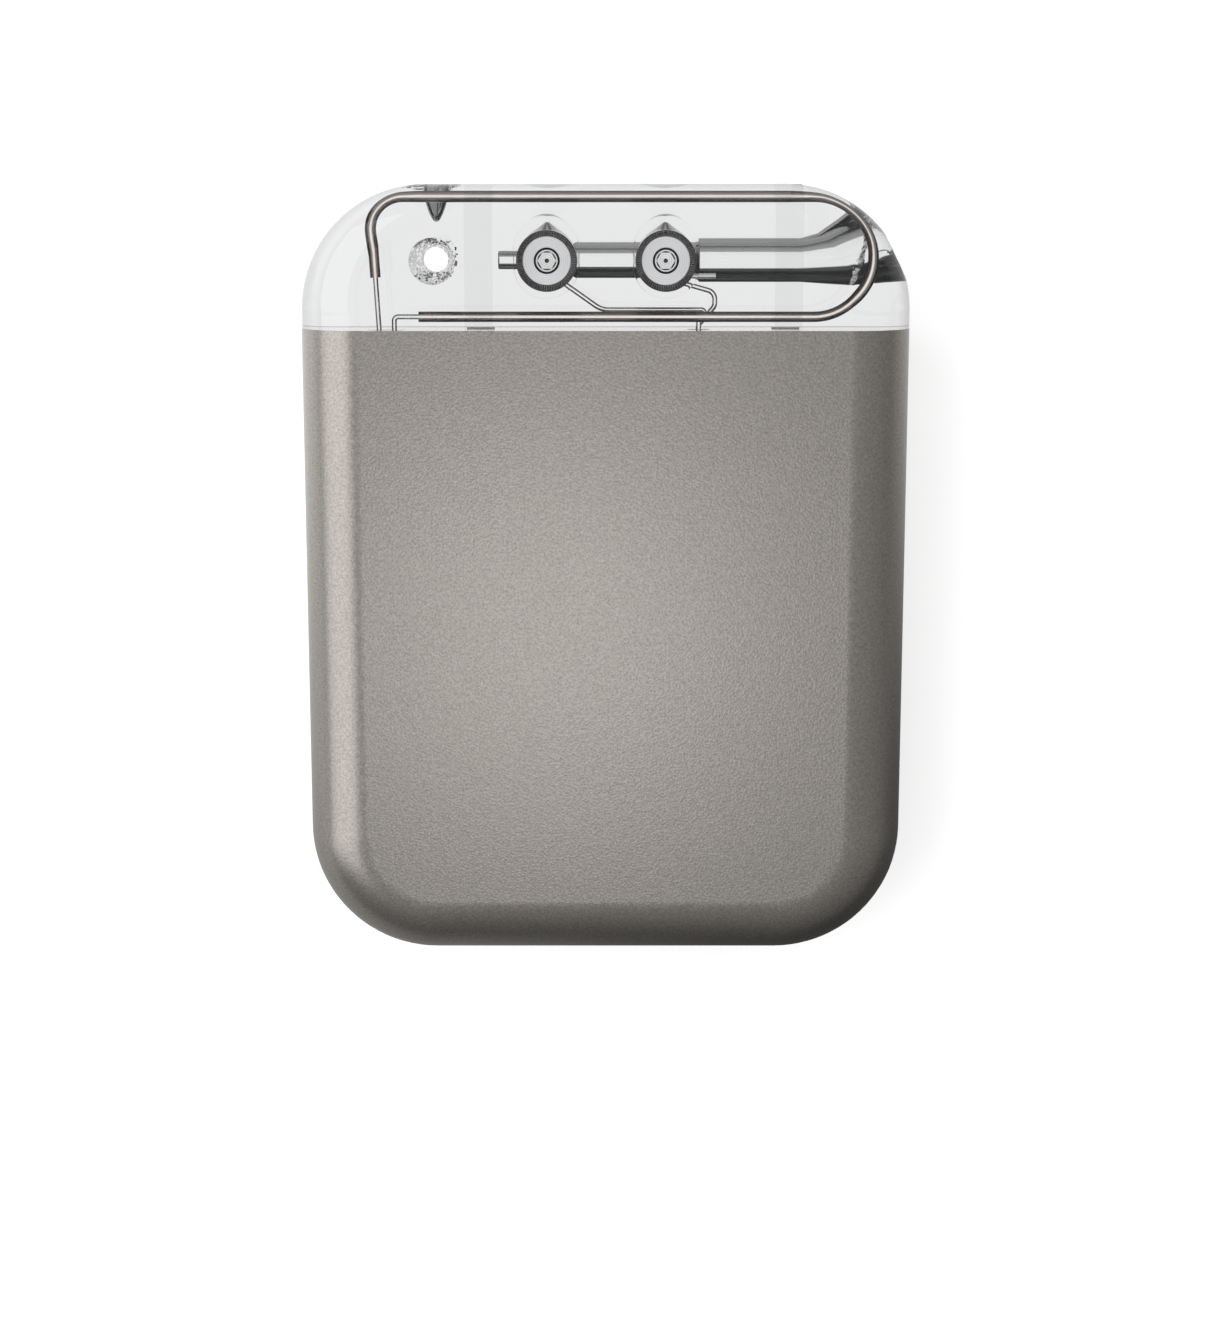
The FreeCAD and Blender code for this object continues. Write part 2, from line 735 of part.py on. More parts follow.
for name, across, bore, lug in (("pin", PIN_PLACE, "pin_bore", False),
                                ("ring", RING_PLACE, "ring_bore", True)):
    connector_block(name + "_block", across, bore, lug)
    setscrew(name + "_setscrew", across)
    cavities.append(septum(name + "_septum", across))
    cavities.append(block_cavity(name + "_block_cavity", across, lug))

# Lead passage: a stepped bore turned about its axis, then a skew funnel and the open mouth

PIN_END = f"( {PIN_PLACE} - pin_bore_reach )"
RING_START = f"( {PIN_PLACE} + block_width / 2 - step_sink )"
SEAL_START = f"( {RING_PLACE} + block_width / 2 )"
SEAL_END = "( body_width / 2 - funnel_inset )"

lead_bore = new_body("lead_bore")
steps = new_sketch(lead_bore, "bore_steps")
polygon(steps, [
    (PIN_END, "0"),
    (PIN_END, "pin_bore / 2"),
    (RING_START, "pin_bore / 2"),
    (RING_START, "( ring_bore / 2 - bore_chamfer )"),
    (f"( {RING_START} + bore_chamfer )", "ring_bore / 2"),
    (SEAL_START, "ring_bore / 2"),
    (f"( {SEAL_START} + seal_bore / 2 - ring_bore / 2 )", "seal_bore / 2"),
    (SEAL_END, "seal_bore / 2"),
    (SEAL_END, "0"),
])
revolve(lead_bore, steps, "H_Axis")
place(lead_bore, y=BORE, z=HALF_DEPTH)


def ring_section(name, diameter, x, rise, tilt="0"):
    """a circle across the passage, leaning by the tilt about the depth axis"""
    ring = doc.addObject("Part::Circle", name)
    ring.setExpression("Radius", given(f"{diameter} / 2"))
    lean = Rotation(Vector(0, 0, 1), -value(tilt)) * ALONG_X
    return place(ring, x, f"( {BORE} + {rise} )", HALF_DEPTH, lean)


throat = ring_section("throat_ring", "seal_bore", SEAL_END, "0")
seam_place = f"( {SEAL_END} + funnel_length )"
seam_ring = ring_section("seam_ring", "funnel_width", seam_place, "funnel_rise", "funnel_tilt")
mouth_ring = ring_section("mouth_ring", "mouth_width", f"( {seam_place} + mouth_length )",
                          "( funnel_rise + mouth_rise )")
for name, sections in (("funnel", (throat, seam_ring)), ("mouth", (seam_ring, mouth_ring))):
    loft = doc.addObject("Part::Loft", name)
    loft.Sections = sections
    loft.Solid = True
    loft.Ruled = True
    cavities.append(loft)
cavities.append(lead_bore)

# Suture hole: an hourglass through the header, with a short straight waist

suture = new_body("suture_hole")
hourglass = new_sketch(suture, "hourglass", "XZ_Plane")
waist = "( waist_length / 2 )"
polygon(hourglass, [
    ("0", f"0 - {HALF_DEPTH}"),
    ("suture_mouth / 2", f"0 - {HALF_DEPTH}"),
    ("suture_waist / 2", f"0 - {waist}"),
    ("suture_waist / 2", waist),
    ("suture_mouth / 2", HALF_DEPTH),
    ("0", HALF_DEPTH),
])
revolve(suture, hourglass)
cavities.append(place(suture, from_left("suture_inset"), BORE, HALF_DEPTH))

# Moulded dimples: one deep and two shallow cones that point down from the header's top


def dimple(name, across, width, depth):
    sizes = {"Radius1": "0", "Radius2": f"{width} / 2", "Height": depth}
    return primitive("Part::Cone", name, sizes, across, f"{TOP} - {depth}", HALF_DEPTH, UP_Y)


cavities.append(dimple("deep_dimple", from_left("deep_inset"), "deep_width", "deep_depth"))
cavities.append(dimple("pin_dimple", PIN_PLACE, "shallow_width", "shallow_depth"))
cavities.append(dimple("ring_dimple", RING_PLACE, "shallow_width", "shallow_depth"))

# Loop antenna: a bare wire from pin to pin, with a brown sleeve over most of the loop

ANTENNA_LEFT = f"( {ANTENNA_FEED} - antenna_feed_pitch / 2 )"
ANTENNA_RIGHT = f"( {ANTENNA_FEED} + antenna_feed_pitch / 2 )"
LOOP_HIGH = f"( {TOP} - loop_top )"
LOOP_LOW = f"( {CASE_TOP} + loop_rise )"
LOOP_SIDE = f"( {HALF_WIDTH} - loop_side )"
LOOP_BEND = f"( ( {LOOP_HIGH} - {LOOP_LOW} ) / 2 - loop_flat )"
SLEEVE_LEVEL = f"( {CASE_TOP} + sleeve_start )"
leg_share = f"( ( {SLEEVE_LEVEL} - {PIN_TOP} ) / ( {LOOP_HIGH} - {PIN_TOP} ) )"
SLEEVE_SIDE = f"( {ANTENNA_LEFT} + ( {LOOP_LEFT} - {ANTENNA_LEFT} ) * {leg_share} )"
LOOP = [
    (LOOP_LEFT, LOOP_HIGH, "loop_left_bend"),
    (LOOP_SIDE, LOOP_HIGH, LOOP_BEND),
    (LOOP_SIDE, LOOP_LOW, LOOP_BEND),
]
whole_loop = [(ANTENNA_LEFT, PIN_TOP, "0")] + LOOP + [(ANTENNA_RIGHT, LOOP_LOW, "tail_bend"),
                                                      (ANTENNA_RIGHT, PIN_TOP, "0")]
sleeved_loop = [(SLEEVE_SIDE, SLEEVE_LEVEL, "0")] + LOOP + [(from_left("sleeve_end_inset"), LOOP_LOW, "0")]


def antenna_piece(label, corners, diameters):
    body = new_body(label)
    pipe(body, label, corners, diameters)
    return place(body, z=ANTENNA_LEVEL)


cavities.append(keep(antenna_piece("antenna_wire", whole_loop, ["wire_width"]), "antenna_wire"))
bore_of_sleeve = "( wire_width + 2 * sleeve_gap )"
keep(antenna_piece("antenna_sleeve", sleeved_loop, ["sleeve_width", bore_of_sleeve]), "antenna_sleeve")
cavities.append(antenna_piece("sleeve_cavity", sleeved_loop, ["sleeve_width"]))

# Block wires: bare wires, each from the flank of its block to the top of its pin

RUN_LEVEL = f"( {CASE_TOP} + run_rise )"
EXIT_LEVEL = f"( {BORE} - exit_drop )"
pin_route = [
    (f"( {PIN_PLACE} + exit_side )", EXIT_LEVEL, "0"),
    (f"( {PIN_PLACE} + run_reach )", RUN_LEVEL, "run_bend"),
    (f"( {LEAD_FEED} + hook_reach )", RUN_LEVEL, "hook_bend"),
    (LEAD_FEED, f"( {CASE_TOP} + knee_rise )", "hook_bend"),
    (LEAD_FEED, PIN_TOP, "0"),
]
ring_route = [
    (f"( {RING_PLACE} + exit_side )", EXIT_LEVEL, "0"),
    (f"( {LEAD_FEED} + ring_knee_reach )", f"( {CASE_TOP} + ring_knee_rise )", "ring_bend"),
    (f"( {LEAD_FEED} + ring_knee_reach )", f"( {CASE_TOP} + ring_elbow_rise )", "ring_bend"),
    (LEAD_FEED, f"( {CASE_TOP} + ring_low_rise )", "hook_bend"),
    (LEAD_FEED, PIN_TOP, "0"),
]


def block_wire(label, corners, block, level):
    body = new_body(label + "_blank")
    pipe(body, label, corners, ["wire_width"])
    place(body, z=level)
    sizes = {"Radius": "block_width / 2", "Height": "body_depth"}
    flank = primitive("Part::Cylinder", label + "_flank", sizes, block, BORE)
    return keep(combine("Part::Cut", label, (body, flank)), label)


FRONT_PIN = f"( {LEAD_LEVEL} + lead_feed_pitch / 2 )"
REAR_PIN = f"( {LEAD_LEVEL} - lead_feed_pitch / 2 )"
cavities.append(block_wire("pin_wire", pin_route, PIN_PLACE, FRONT_PIN))
cavities.append(block_wire("ring_wire", ring_route, RING_PLACE, REAR_PIN))

# Feedthroughs: a flanged ferrule in the case's top wall, a ceramic insulator and two pins each


def feed_oval(body, name, extra, pitch, offset):
    outline = new_sketch(body, name, offset=offset)
    obround(outline, f"( ferrule_width + {extra} )", pitch)
    return outline


def feedthrough(prefix, across, level, pitch, turn):
    ferrule = new_body(prefix + "_ferrule")
    pad(ferrule, feed_oval(ferrule, prefix + "_sleeve", "0", pitch, "0"), "ferrule_length", backwards=True)
    flange = feed_oval(ferrule, prefix + "_flange", "2 * flange_width", pitch, "0 - shell_wall")
    pad(ferrule, flange, "flange_thickness", backwards=True)
    hollow = "0 - 2 * ferrule_wall"
    pocket(ferrule, feed_oval(ferrule, prefix + "_hollow", hollow, pitch, "0"), "ferrule_length")
    keep(place(ferrule, across, CASE_TOP, level, turn), prefix + "_ferrule")
    insulator = new_body(prefix + "_insulator")
    filling = feed_oval(insulator, prefix + "_filling", hollow, pitch, "0")
    pad(insulator, filling, "ferrule_length", backwards=True)
    holes = new_sketch(insulator, prefix + "_holes")
    circle(holes, "wire_width", f"( {pitch} / 2 )")
    circle(holes, "wire_width", f"( 0 - {pitch} / 2 )")
    pocket(insulator, holes, "ferrule_length")
    keep(place(insulator, across, CASE_TOP, level, turn), prefix + "_insulator")


def feed_pin(label, across, level):
    sizes = {"Radius": "wire_width / 2", "Height": "pin_rise + ferrule_length + pin_drop"}
    pin = primitive("Part::Cylinder", label, sizes, across, f"{CASE_TOP} - ferrule_length - pin_drop",
                    level, UP_Y)
    return keep(pin, label)


feedthrough("antenna", ANTENNA_FEED, ANTENNA_LEVEL, "antenna_feed_pitch", UP_Y)
feedthrough("lead", LEAD_FEED, LEAD_LEVEL, "lead_feed_pitch", UP_Y * Rotation(Vector(0, 0, 1), 90))
cavities.append(feed_pin("antenna_pin_left", ANTENNA_LEFT, ANTENNA_LEVEL))
cavities.append(feed_pin("antenna_pin_right", ANTENNA_RIGHT, ANTENNA_LEVEL))
cavities.append(feed_pin("lead_pin_front", LEAD_FEED, FRONT_PIN))
cavities.append(feed_pin("lead_pin_rear", LEAD_FEED, REAR_PIN))

# Header: clear epoxy cast round everything above the case

hollows = combine("Part::MultiFuse", "header_hollows", cavities)
keep(combine("Part::Cut", "header", (envelope, hollows)), "header")

# Cell: it lies on the flat of the rear shell in a thin tray, and its rounded edges rise inside the
# shell's own

FLAT_WIDTH = f"( body_width - 2 * {EDGE} )"
LINER_BACK = "( shell_wall + liner_gap )"
LINER_SIDE = "liner_edge"
CELL_SIDE = "( liner_edge - liner_wall - liner_gap )"
CELL_BACK = "( shell_wall + 2 * liner_gap + liner_wall )"
CELL_FRONT = "( body_depth - shell_wall - pad_thickness - liner_gap )"
CELL_BOTTOM = f"( {BOTTOM} + {EDGE} - {CELL_SIDE} )"
CELL_TOP = f"( {CELL_BOTTOM} + battery_height )"


def cell_outline(sketch, side, top):
    """the flat of the shell, let out by a margin, up to a given level"""
    arch(sketch, f"( {FLAT_WIDTH} + 2 * {side} )", top, f"( {BOTTOM} + {EDGE} - {side} )",
         f"( case_corner - {EDGE} + {side} )")


battery = new_body("battery")
cell = new_sketch(battery, "cell_outline", offset=CELL_BACK)
cell_outline(cell, CELL_SIDE, CELL_TOP)
can = pad(battery, cell, f"{CELL_FRONT} - {CELL_BACK}")
can_round = round_pad(battery, can, lambda edge: on_level(edge, "z", CELL_BACK)
                      or on_level(edge, "z", CELL_FRONT), CELL_SIDE)
for name, width, height in (("terminal_seal", "seal_width", "seal_height"),
                            ("terminal_pin", "terminal_width", "terminal_length")):
    stud = battery.newObject("PartDesign::AdditiveCylinder", name)
    stud.setExpression("Radius", given(f"{width} / 2"))
    stud.setExpression("Height", given(height))
    place(stud, "terminal_place", CELL_TOP, "body_depth - terminal_setback", UP_Y)
keep(battery, "battery")


def tray_form(body, name, back, side, top, front, radius):
    """a tray's outside or inside: rounded where its floor meets its side walls"""
    outline = new_sketch(body, name + "_outline", offset=back)
    cell_outline(outline, side, top)
    blank = pad(body, outline, f"{front} - {back}")
    round_pad(body, blank, lambda edge: on_level(edge, "z", back) and not on_level(edge, "y", top), radius)
    return body


tray_rim = f"( {CELL_FRONT} - liner_edge )"
tray_side = "( liner_edge - liner_wall )"
tray_outside = tray_form(new_body("tray_outside"), "tray", LINER_BACK, "liner_edge", CELL_TOP,
                         tray_rim, "liner_edge")
tray_inside = tray_form(new_body("tray_inside"), "tray_core", f"( {LINER_BACK} + liner_wall )", tray_side,
                        f"( {CELL_TOP} + overrun )", CELL_FRONT, tray_side)
keep(combine("Part::Cut", "battery_liner", (tray_outside, tray_inside)), "battery_liner")

battery_pad = new_body("battery_pad")
cushion = new_sketch(battery_pad, "cushion_outline", offset=CELL_FRONT)
cell_outline(cushion, "0", f"( {CELL_TOP} - {CELL_SIDE} )")
pad(battery_pad, cushion, "pad_thickness")
keep(battery_pad, "battery_pad")

# Board and the nest that carries it: four posts hold the board, and a peg on each locates it

CRADLE_BACK = "( shell_wall + cradle_gap )"
CRADLE_FRONT = f"( {CRADLE_BACK} + cradle_floor )"
BOARD_BACK = f"( {CRADLE_FRONT} + board_stand )"
BOARD_FRONT = f"( {BOARD_BACK} + board_thickness )"
BOARD_SIDE = f"( {FLAT_WIDTH} / 2 - board_margin )"
BOARD_LOW = f"( {CELL_TOP} + board_gap )"
BOARD_HIGH = f"( {INSIDE_TOP} - board_headroom )"
POST_SIDE = f"( {BOARD_SIDE} - post_inset )"
POST_PLACES = [(side, level)
               for side in (f"( 0 - {POST_SIDE} )", POST_SIDE)
               for level in (f"( {BOARD_LOW} + post_inset )", f"( {BOARD_HIGH} - post_inset )")]

board_cradle = new_body("board_cradle")
floor = new_sketch(board_cradle, "cradle_floor", offset=CRADLE_BACK)
cradle_side = f"( {FLAT_WIDTH} / 2 - cradle_gap )"
rectangle(floor, f"0 - {cradle_side}", cradle_side, f"( {BOARD_LOW} - cradle_edge )",
          f"( {BOARD_HIGH} + cradle_edge )")
pad(board_cradle, floor, "cradle_floor")
for name, width, level, length in (("posts", "post_width", CRADLE_FRONT, "board_stand"),
                                   ("pegs", "peg_width", BOARD_BACK, "board_thickness")):
    studs = new_sketch(board_cradle, name, offset=level)
    for x, y in POST_PLACES:
        circle(studs, width, x, y)
    pad(board_cradle, studs, length)
keep(board_cradle, "board_cradle")

circuit_board = new_body("circuit_board")
board_outline = new_sketch(circuit_board, "board_outline", offset=BOARD_BACK)
rectangle(board_outline, f"0 - {BOARD_SIDE}", BOARD_SIDE, BOARD_LOW, BOARD_HIGH)
for x, y in POST_PLACES:
    circle(board_outline, "( peg_width + 2 * peg_gap )", x, y)
pad(circuit_board, board_outline, "board_thickness")
keep(circuit_board, "circuit_board")

# Ribbons: flat L-shaped strips that end on the board's front face


def ribbon(label, left, right, start, foot, wall, head):
    body = new_body(label)
    profile = new_sketch(body, label + "_profile", "YZ_Plane", left)
    inner = f"( {start} + {wall} )" if value(foot) > value(start) else f"( {start} - {wall} )"
    polygon(profile, [(start, BOARD_FRONT), (foot, BOARD_FRONT), (foot, f"( {BOARD_FRONT} + {wall} )"),
                      (inner, f"( {BOARD_FRONT} + {wall} )"), (inner, head), (start, head)])
    pad(body, profile, f"( {right} ) - ( {left} )")
    return keep(body, label)


tab_top = "( body_depth - terminal_setback + tab_head )"
tab_foot = f"( {BOARD_LOW} + tab_reach )"
ribbon("positive_tab", "terminal_place - tab_width / 2", "terminal_place + tab_width / 2",
       f"( {CELL_TOP} + terminal_length )", tab_foot, "tab_wall", tab_top)
ribbon("negative_tab", "negative_tab_place - tab_width / 2", "negative_tab_place + tab_width / 2",
       CELL_TOP, tab_foot, "tab_wall", tab_top)
pin_ends = f"( {CASE_TOP} - ferrule_length - pin_drop )"
ribbon("pin_flex", f"{ANTENNA_LEFT} - flex_overlap", f"{LEAD_FEED} + flex_overlap", pin_ends,
       f"( {BOARD_HIGH} - flex_reach )", "flex_thickness", f"( {ANTENNA_LEVEL} + flex_overlap )")

# Parts on the board: each stands on its front face


def share_level(share):
    return f"( {BOARD_LOW} + ( {BOARD_HIGH} - {BOARD_LOW} ) * {share} )"


def share_across(share):
    return f"( {BOARD_SIDE} * {share} )"


def chip(label, across, level, length, width, thickness):
    """a moulded package with bevelled upper edges"""
    block = box(label + "_block", f"{across} - {length} / 2", f"{across} + {length} / 2",
                f"{level} - {width} / 2", f"{level} + {width} / 2", BOARD_FRONT,
                f"{BOARD_FRONT} + {thickness}")
    return rounded(label, block, lambda edge: on_level(edge, "z", f"{BOARD_FRONT} + {thickness}"),
                   "chip_chamfer", kind="Part::Chamfer")


for name in ("processor", "output", "radio"):
    side = name + "_side"
    keep(chip(name + "_chip", share_across(name + "_side_share"), share_level(name + "_share"),
              side, side, name + "_thickness"), name + "_chip")
keep(chip("crystal", share_across("crystal_side_share"), share_level("crystal_share"),
          "crystal_length", "crystal_width", "crystal_thickness"), "crystal")

bank = []
row_level = f"( {BOARD_LOW} + capacitor_rise )"
for index in range(6):
    spot = f"( capacitor_across + {index} * capacitor_pitch )"
    bank.append(box(f"capacitor_{index + 1}",
                    f"{spot} - capacitor_width / 2", f"{spot} + capacitor_width / 2",
                    f"{row_level} - capacitor_length / 2", f"{row_level} + capacitor_length / 2",
                    BOARD_FRONT, f"{BOARD_FRONT} + capacitor_width"))
keep(combine("Part::Compound", "capacitors", bank), "capacitors")

inductor = new_body("inductor")
spool = new_sketch(inductor, "spool_profile", "XZ_Plane")
polygon(spool, [
    ("0", "0"),
    ("inductor_width / 2", "0"),
    ("inductor_width / 2", "inductor_flange"),
    ("inductor_core / 2", "inductor_flange"),
    ("inductor_core / 2", "( inductor_height - inductor_flange )"),
    ("inductor_width / 2", "( inductor_height - inductor_flange )"),
    ("inductor_width / 2", "inductor_height"),
    ("0", "inductor_height"),
])
revolve(inductor, spool)
keep(place(inductor, share_across("inductor_side_share"), share_level("inductor_share"), BOARD_FRONT),
     "inductor")

# Magnet switch: a glass capsule on two bent leads, which lets a magnet held over the case trigger it

magnet_switch = new_body("magnet_switch")
capsule = new_sketch(magnet_switch, "capsule_profile")
half_glass = "( switch_length / 2 )"
half_lead = "( switch_length / 2 + switch_lead_length )"
polygon(capsule, [
    (f"0 - {half_lead}", "0"),
    (f"0 - {half_lead}", "switch_lead / 2"),
    (f"0 - {half_glass}", "switch_lead / 2"),
    (f"0 - ( {half_glass} - switch_width / 4 )", "switch_width / 2"),
    (f"( {half_glass} - switch_width / 4 )", "switch_width / 2"),
    (half_glass, "switch_lead / 2"),
    (half_lead, "switch_lead / 2"),
    (half_lead, "0"),
])
revolve(magnet_switch, capsule, "H_Axis")
feet = new_sketch(magnet_switch, "switch_feet")
foot_place = f"( {half_lead} - switch_lead / 2 )"
circle(feet, "switch_foot", foot_place)
circle(feet, "switch_foot", f"( 0 - {foot_place} )")
pad(magnet_switch, feet, "switch_width / 2", backwards=True)
keep(place(magnet_switch, "switch_across", f"( {BOARD_LOW} + switch_rise )",
           f"( {BOARD_FRONT} + switch_width / 2 )"), "magnet_switch")

# Every piece is checked before anything is written

doc.recompute()
for item in doc.Objects:
    if "Invalid" in item.State or "Error" in item.State:
        raise RuntimeError(f"{item.Label} failed: {item.State}")
for piece in PARTS:
    if piece.Shape.isNull() or not piece.Shape.isValid():
        raise RuntimeError(f"{piece.Label} has no valid shape")

os.makedirs("parts", exist_ok=True)
for piece in PARTS:
    piece.Shape.exportStep(f"parts/{piece.Label}.step")
    solids = len(piece.Shape.Solids)
    print(f"{piece.Label}: {solids} solid(s), {piece.Shape.Volume:.2f} mm3")
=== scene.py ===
import math

import bmesh
import bpy
from mathutils import Matrix, Vector, noise


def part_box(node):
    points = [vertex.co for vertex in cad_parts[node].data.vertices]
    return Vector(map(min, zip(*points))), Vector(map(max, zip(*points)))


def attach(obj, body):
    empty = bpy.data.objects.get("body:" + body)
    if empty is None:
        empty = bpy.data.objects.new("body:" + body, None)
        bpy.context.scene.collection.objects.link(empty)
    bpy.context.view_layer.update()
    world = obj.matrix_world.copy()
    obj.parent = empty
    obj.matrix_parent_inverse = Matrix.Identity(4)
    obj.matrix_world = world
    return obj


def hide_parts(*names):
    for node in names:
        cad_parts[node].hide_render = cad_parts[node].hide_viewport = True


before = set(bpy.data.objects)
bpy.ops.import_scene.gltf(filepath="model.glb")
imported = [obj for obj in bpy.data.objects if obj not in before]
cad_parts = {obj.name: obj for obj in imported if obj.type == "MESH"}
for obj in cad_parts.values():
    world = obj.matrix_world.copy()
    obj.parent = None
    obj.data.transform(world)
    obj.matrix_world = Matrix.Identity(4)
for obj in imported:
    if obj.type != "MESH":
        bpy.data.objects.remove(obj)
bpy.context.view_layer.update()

# Case: two half shells deep-drawn from titanium sheet, bead-blasted all over to a fine matt grain.
# They are pressed rim to rim over a backing strip and laser-welded along the seam.

MM = 0.001
SHARP = math.radians(32)
TITANIUM = (0.345, 0.323, 0.298, 1.0)
TITANIUM_ROUGHNESS = 0.30
GRAIN_SIZE = 0.17 * MM
GRAIN_HEIGHT = 0.010 * MM


def surface(name, **sockets):
    """a material whose Principled shader has the given plain values"""
    material = bpy.data.materials.new(name)
    material.use_nodes = True
    shader = material.node_tree.nodes["Principled BSDF"]
    for socket, setting in sockets.items():
        shader.inputs[socket.replace("_", " ")].default_value = setting
    return material, shader


def add(owner, kind, **settings):
    """one more shader node of a material or world, with its properties and unlinked sockets set"""
    node = owner.node_tree.nodes.new(kind)
    for name, setting in settings.items():
        if hasattr(node, name):
            setattr(node, name, setting)
        else:
            node.inputs[name.replace("_", " ")].default_value = setting
    return node


def linked(tree, *pairs):
    """joins sockets of a node tree, each pair from an output to an input"""
    for start, end in pairs:
        tree.links.new(start, end)


def graded(material, *stops, interpolation="LINEAR"):
    """a ramp node through stops, each a position with a grey or a colour"""
    ramp = add(material, "ShaderNodeValToRGB")
    ramp.color_ramp.interpolation = interpolation
    marks = ramp.color_ramp.elements
    marks[1].position = stops[-1][0]
    marks[0].position = stops[0][0]
    for position, *_ in stops[1:-1]:
        marks.new(position)
    for mark, (_, *colour) in zip(marks, stops):
        mark.color = (*(colour * 3)[:3], 1.0)
    return ramp


def node_group(name, sort, inputs, outputs):
    """a node group with its sockets: itself, its nodes, and the two nodes for what goes in and out"""
    group = bpy.data.node_groups.new(name, sort)
    for way, sockets in (("INPUT", inputs), ("OUTPUT", outputs)):
        for socket, kind in sockets.items():
            group.interface.new_socket(socket, in_out=way, socket_type="NodeSocket" + kind)
    nodes = group.nodes
    return group, nodes, nodes.new("NodeGroupInput"), nodes.new("NodeGroupOutput")


def mottle_group():
    """shader group: how an even colour and surface vary a little from place to place"""
    group, nodes, given, made = node_group(
        "mottle", "ShaderNodeTree", {"Colour": "Color", "Size": "Float", "Contrast": "Float"},
        {"Colour": "Color", "Height": "Float"})
    place = nodes.new("ShaderNodeTexCoord")
    scale = nodes.new("ShaderNodeMath")
    scale.operation = "DIVIDE"
    scale.inputs[0].default_value = 1.0
    cloud = nodes.new("ShaderNodeTexNoise")
    cloud.inputs["Detail"].default_value = 2.0
    centred = nodes.new("ShaderNodeMath")
    centred.operation = "SUBTRACT"
    centred.inputs[1].default_value = 0.5
    swing = nodes.new("ShaderNodeMath")
    swing.operation = "MULTIPLY_ADD"
    swing.inputs[2].default_value = 1.0
    shade = nodes.new("ShaderNodeVectorMath")
    shade.operation = "SCALE"
    linked(group,
           (given.outputs["Size"], scale.inputs[1]),
           (place.outputs["Object"], cloud.inputs["Vector"]),
           (scale.outputs[0], cloud.inputs["Scale"]),
           (cloud.outputs["Fac"], centred.inputs[0]),
           (centred.outputs[0], swing.inputs[0]),
           (given.outputs["Contrast"], swing.inputs[1]),
           (given.outputs["Colour"], shade.inputs[0]),
           (swing.outputs[0], shade.inputs["Scale"]),
           (shade.outputs[0], made.inputs["Colour"]),
           (cloud.outputs["Fac"], made.inputs["Height"]))
    return group


mottle = mottle_group()


def mottled(name, colour, size, contrast, height=0.0, **sockets):
    """a material with the mottle group in its colour, and in its bump where a height is given"""
    material, shader = surface(name, Base_Color=colour, **sockets)
    spots = add(material, "ShaderNodeGroup", node_tree=mottle)
    spots.inputs["Colour"].default_value = colour
    spots.inputs["Size"].default_value = size
    spots.inputs["Contrast"].default_value = contrast
    linked(material.node_tree, (spots.outputs["Colour"], shader.inputs["Base Color"]))
    if height:
        bump = add(material, "ShaderNodeBump", Distance=height)
        linked(material.node_tree,
               (spots.outputs["Height"], bump.inputs["Height"]),
               (bump.outputs["Normal"], shader.inputs["Normal"]))
    return material


def weighted(piece):
    """shades a piece smooth up to its sharp edges, with the normals of its flats kept flat"""
    form = bmesh.new()
    form.from_mesh(piece.data)
    bmesh.ops.remove_doubles(form, verts=form.verts, dist=1e-7)
    for face in form.faces:
        face.smooth = True
    for edge in form.edges:
        edge.smooth = len(edge.link_faces) == 2 and edge.calc_face_angle(math.pi) < SHARP
    form.to_mesh(piece.data)
    form.free()
    steady = piece.modifiers.new("steady", "WEIGHTED_NORMAL")
    steady.keep_sharp = True
    return piece


def finished(piece, material, nodes):
    """hangs a finished piece on the part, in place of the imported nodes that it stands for"""
    if material:
        piece.data.materials.clear()
        piece.data.materials.append(material)
    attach(piece, "root")
    if nodes:
        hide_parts(*nodes)
    return piece


def smooth_copy(node, name, material):
    """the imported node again, with its facets shaded as the curves they stand for"""
    piece = bpy.data.objects.new(name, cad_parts[node].data.copy())
    bpy.context.collection.objects.link(piece)
    return finished(weighted(piece), material, [node])


def recoated(piece, material, chosen):
    """a second finish for the faces that chosen() accepts by their middle, in millimetres, and normal"""
    piece.data.materials.append(material)
    for face in piece.data.polygons:
        if chosen(face.center / MM, face.normal):
            face.material_index = len(piece.data.materials) - 1


titanium = mottled("blasted_titanium", TITANIUM, GRAIN_SIZE, 0.9, GRAIN_HEIGHT,
                   Metallic=1.0, Roughness=TITANIUM_ROUGHNESS)

# The header's seat on the case is left bright, with painted shade: a dark rear quarter standing for the
# header's shade on it, and a dim line at its front.

CASE_TOP = 19.3
CASE_DEPTH = 10.5
seat_metal, seat_shader = surface("bright_seat", Metallic=1.0, Roughness=0.14)
seat_place = add(seat_metal, "ShaderNodeTexCoord")
seat_axes = add(seat_metal, "ShaderNodeSeparateXYZ")
seat_span = add(seat_metal, "ShaderNodeMapRange", From_Max=CASE_DEPTH * MM)
# painted shade: along the depth the seat's colour is dark over its rear quarter, bright in the middle and
# dim at its front edge
seat_painted_shade = graded(seat_metal, (0.0, 0.03), (0.26, 0.90), (0.965, 0.20), interpolation="CONSTANT")
linked(seat_metal.node_tree,
       (seat_place.outputs["Object"], seat_axes.inputs[0]),
       (seat_axes.outputs["Z"], seat_span.inputs["Value"]),
       (seat_span.outputs[0], seat_painted_shade.inputs["Fac"]),
       (seat_painted_shade.outputs["Color"], seat_shader.inputs["Base Color"]))
for side in ("front_shell", "rear_shell"):
    shell = smooth_copy(side, side + "_blasted", titanium)
    recoated(shell, seat_metal, lambda middle, normal: normal.y > 0.9 and abs(middle.y - CASE_TOP) < 0.01)

# Weld seam: a row of laser spots, each over half of the last, that joins the two rims at mid-depth all
# round the case's sides and bottom.

MID_DEPTH = CASE_DEPTH / 2
HALF_WIDTH = 23.5
CASE_BOTTOM = -30.25
CASE_CORNER = 10.0
SPOT_PITCH = 0.30
SPOT_RADIUS = 0.34
SPOT_RISE = 0.035
CORNER_POINTS = 24


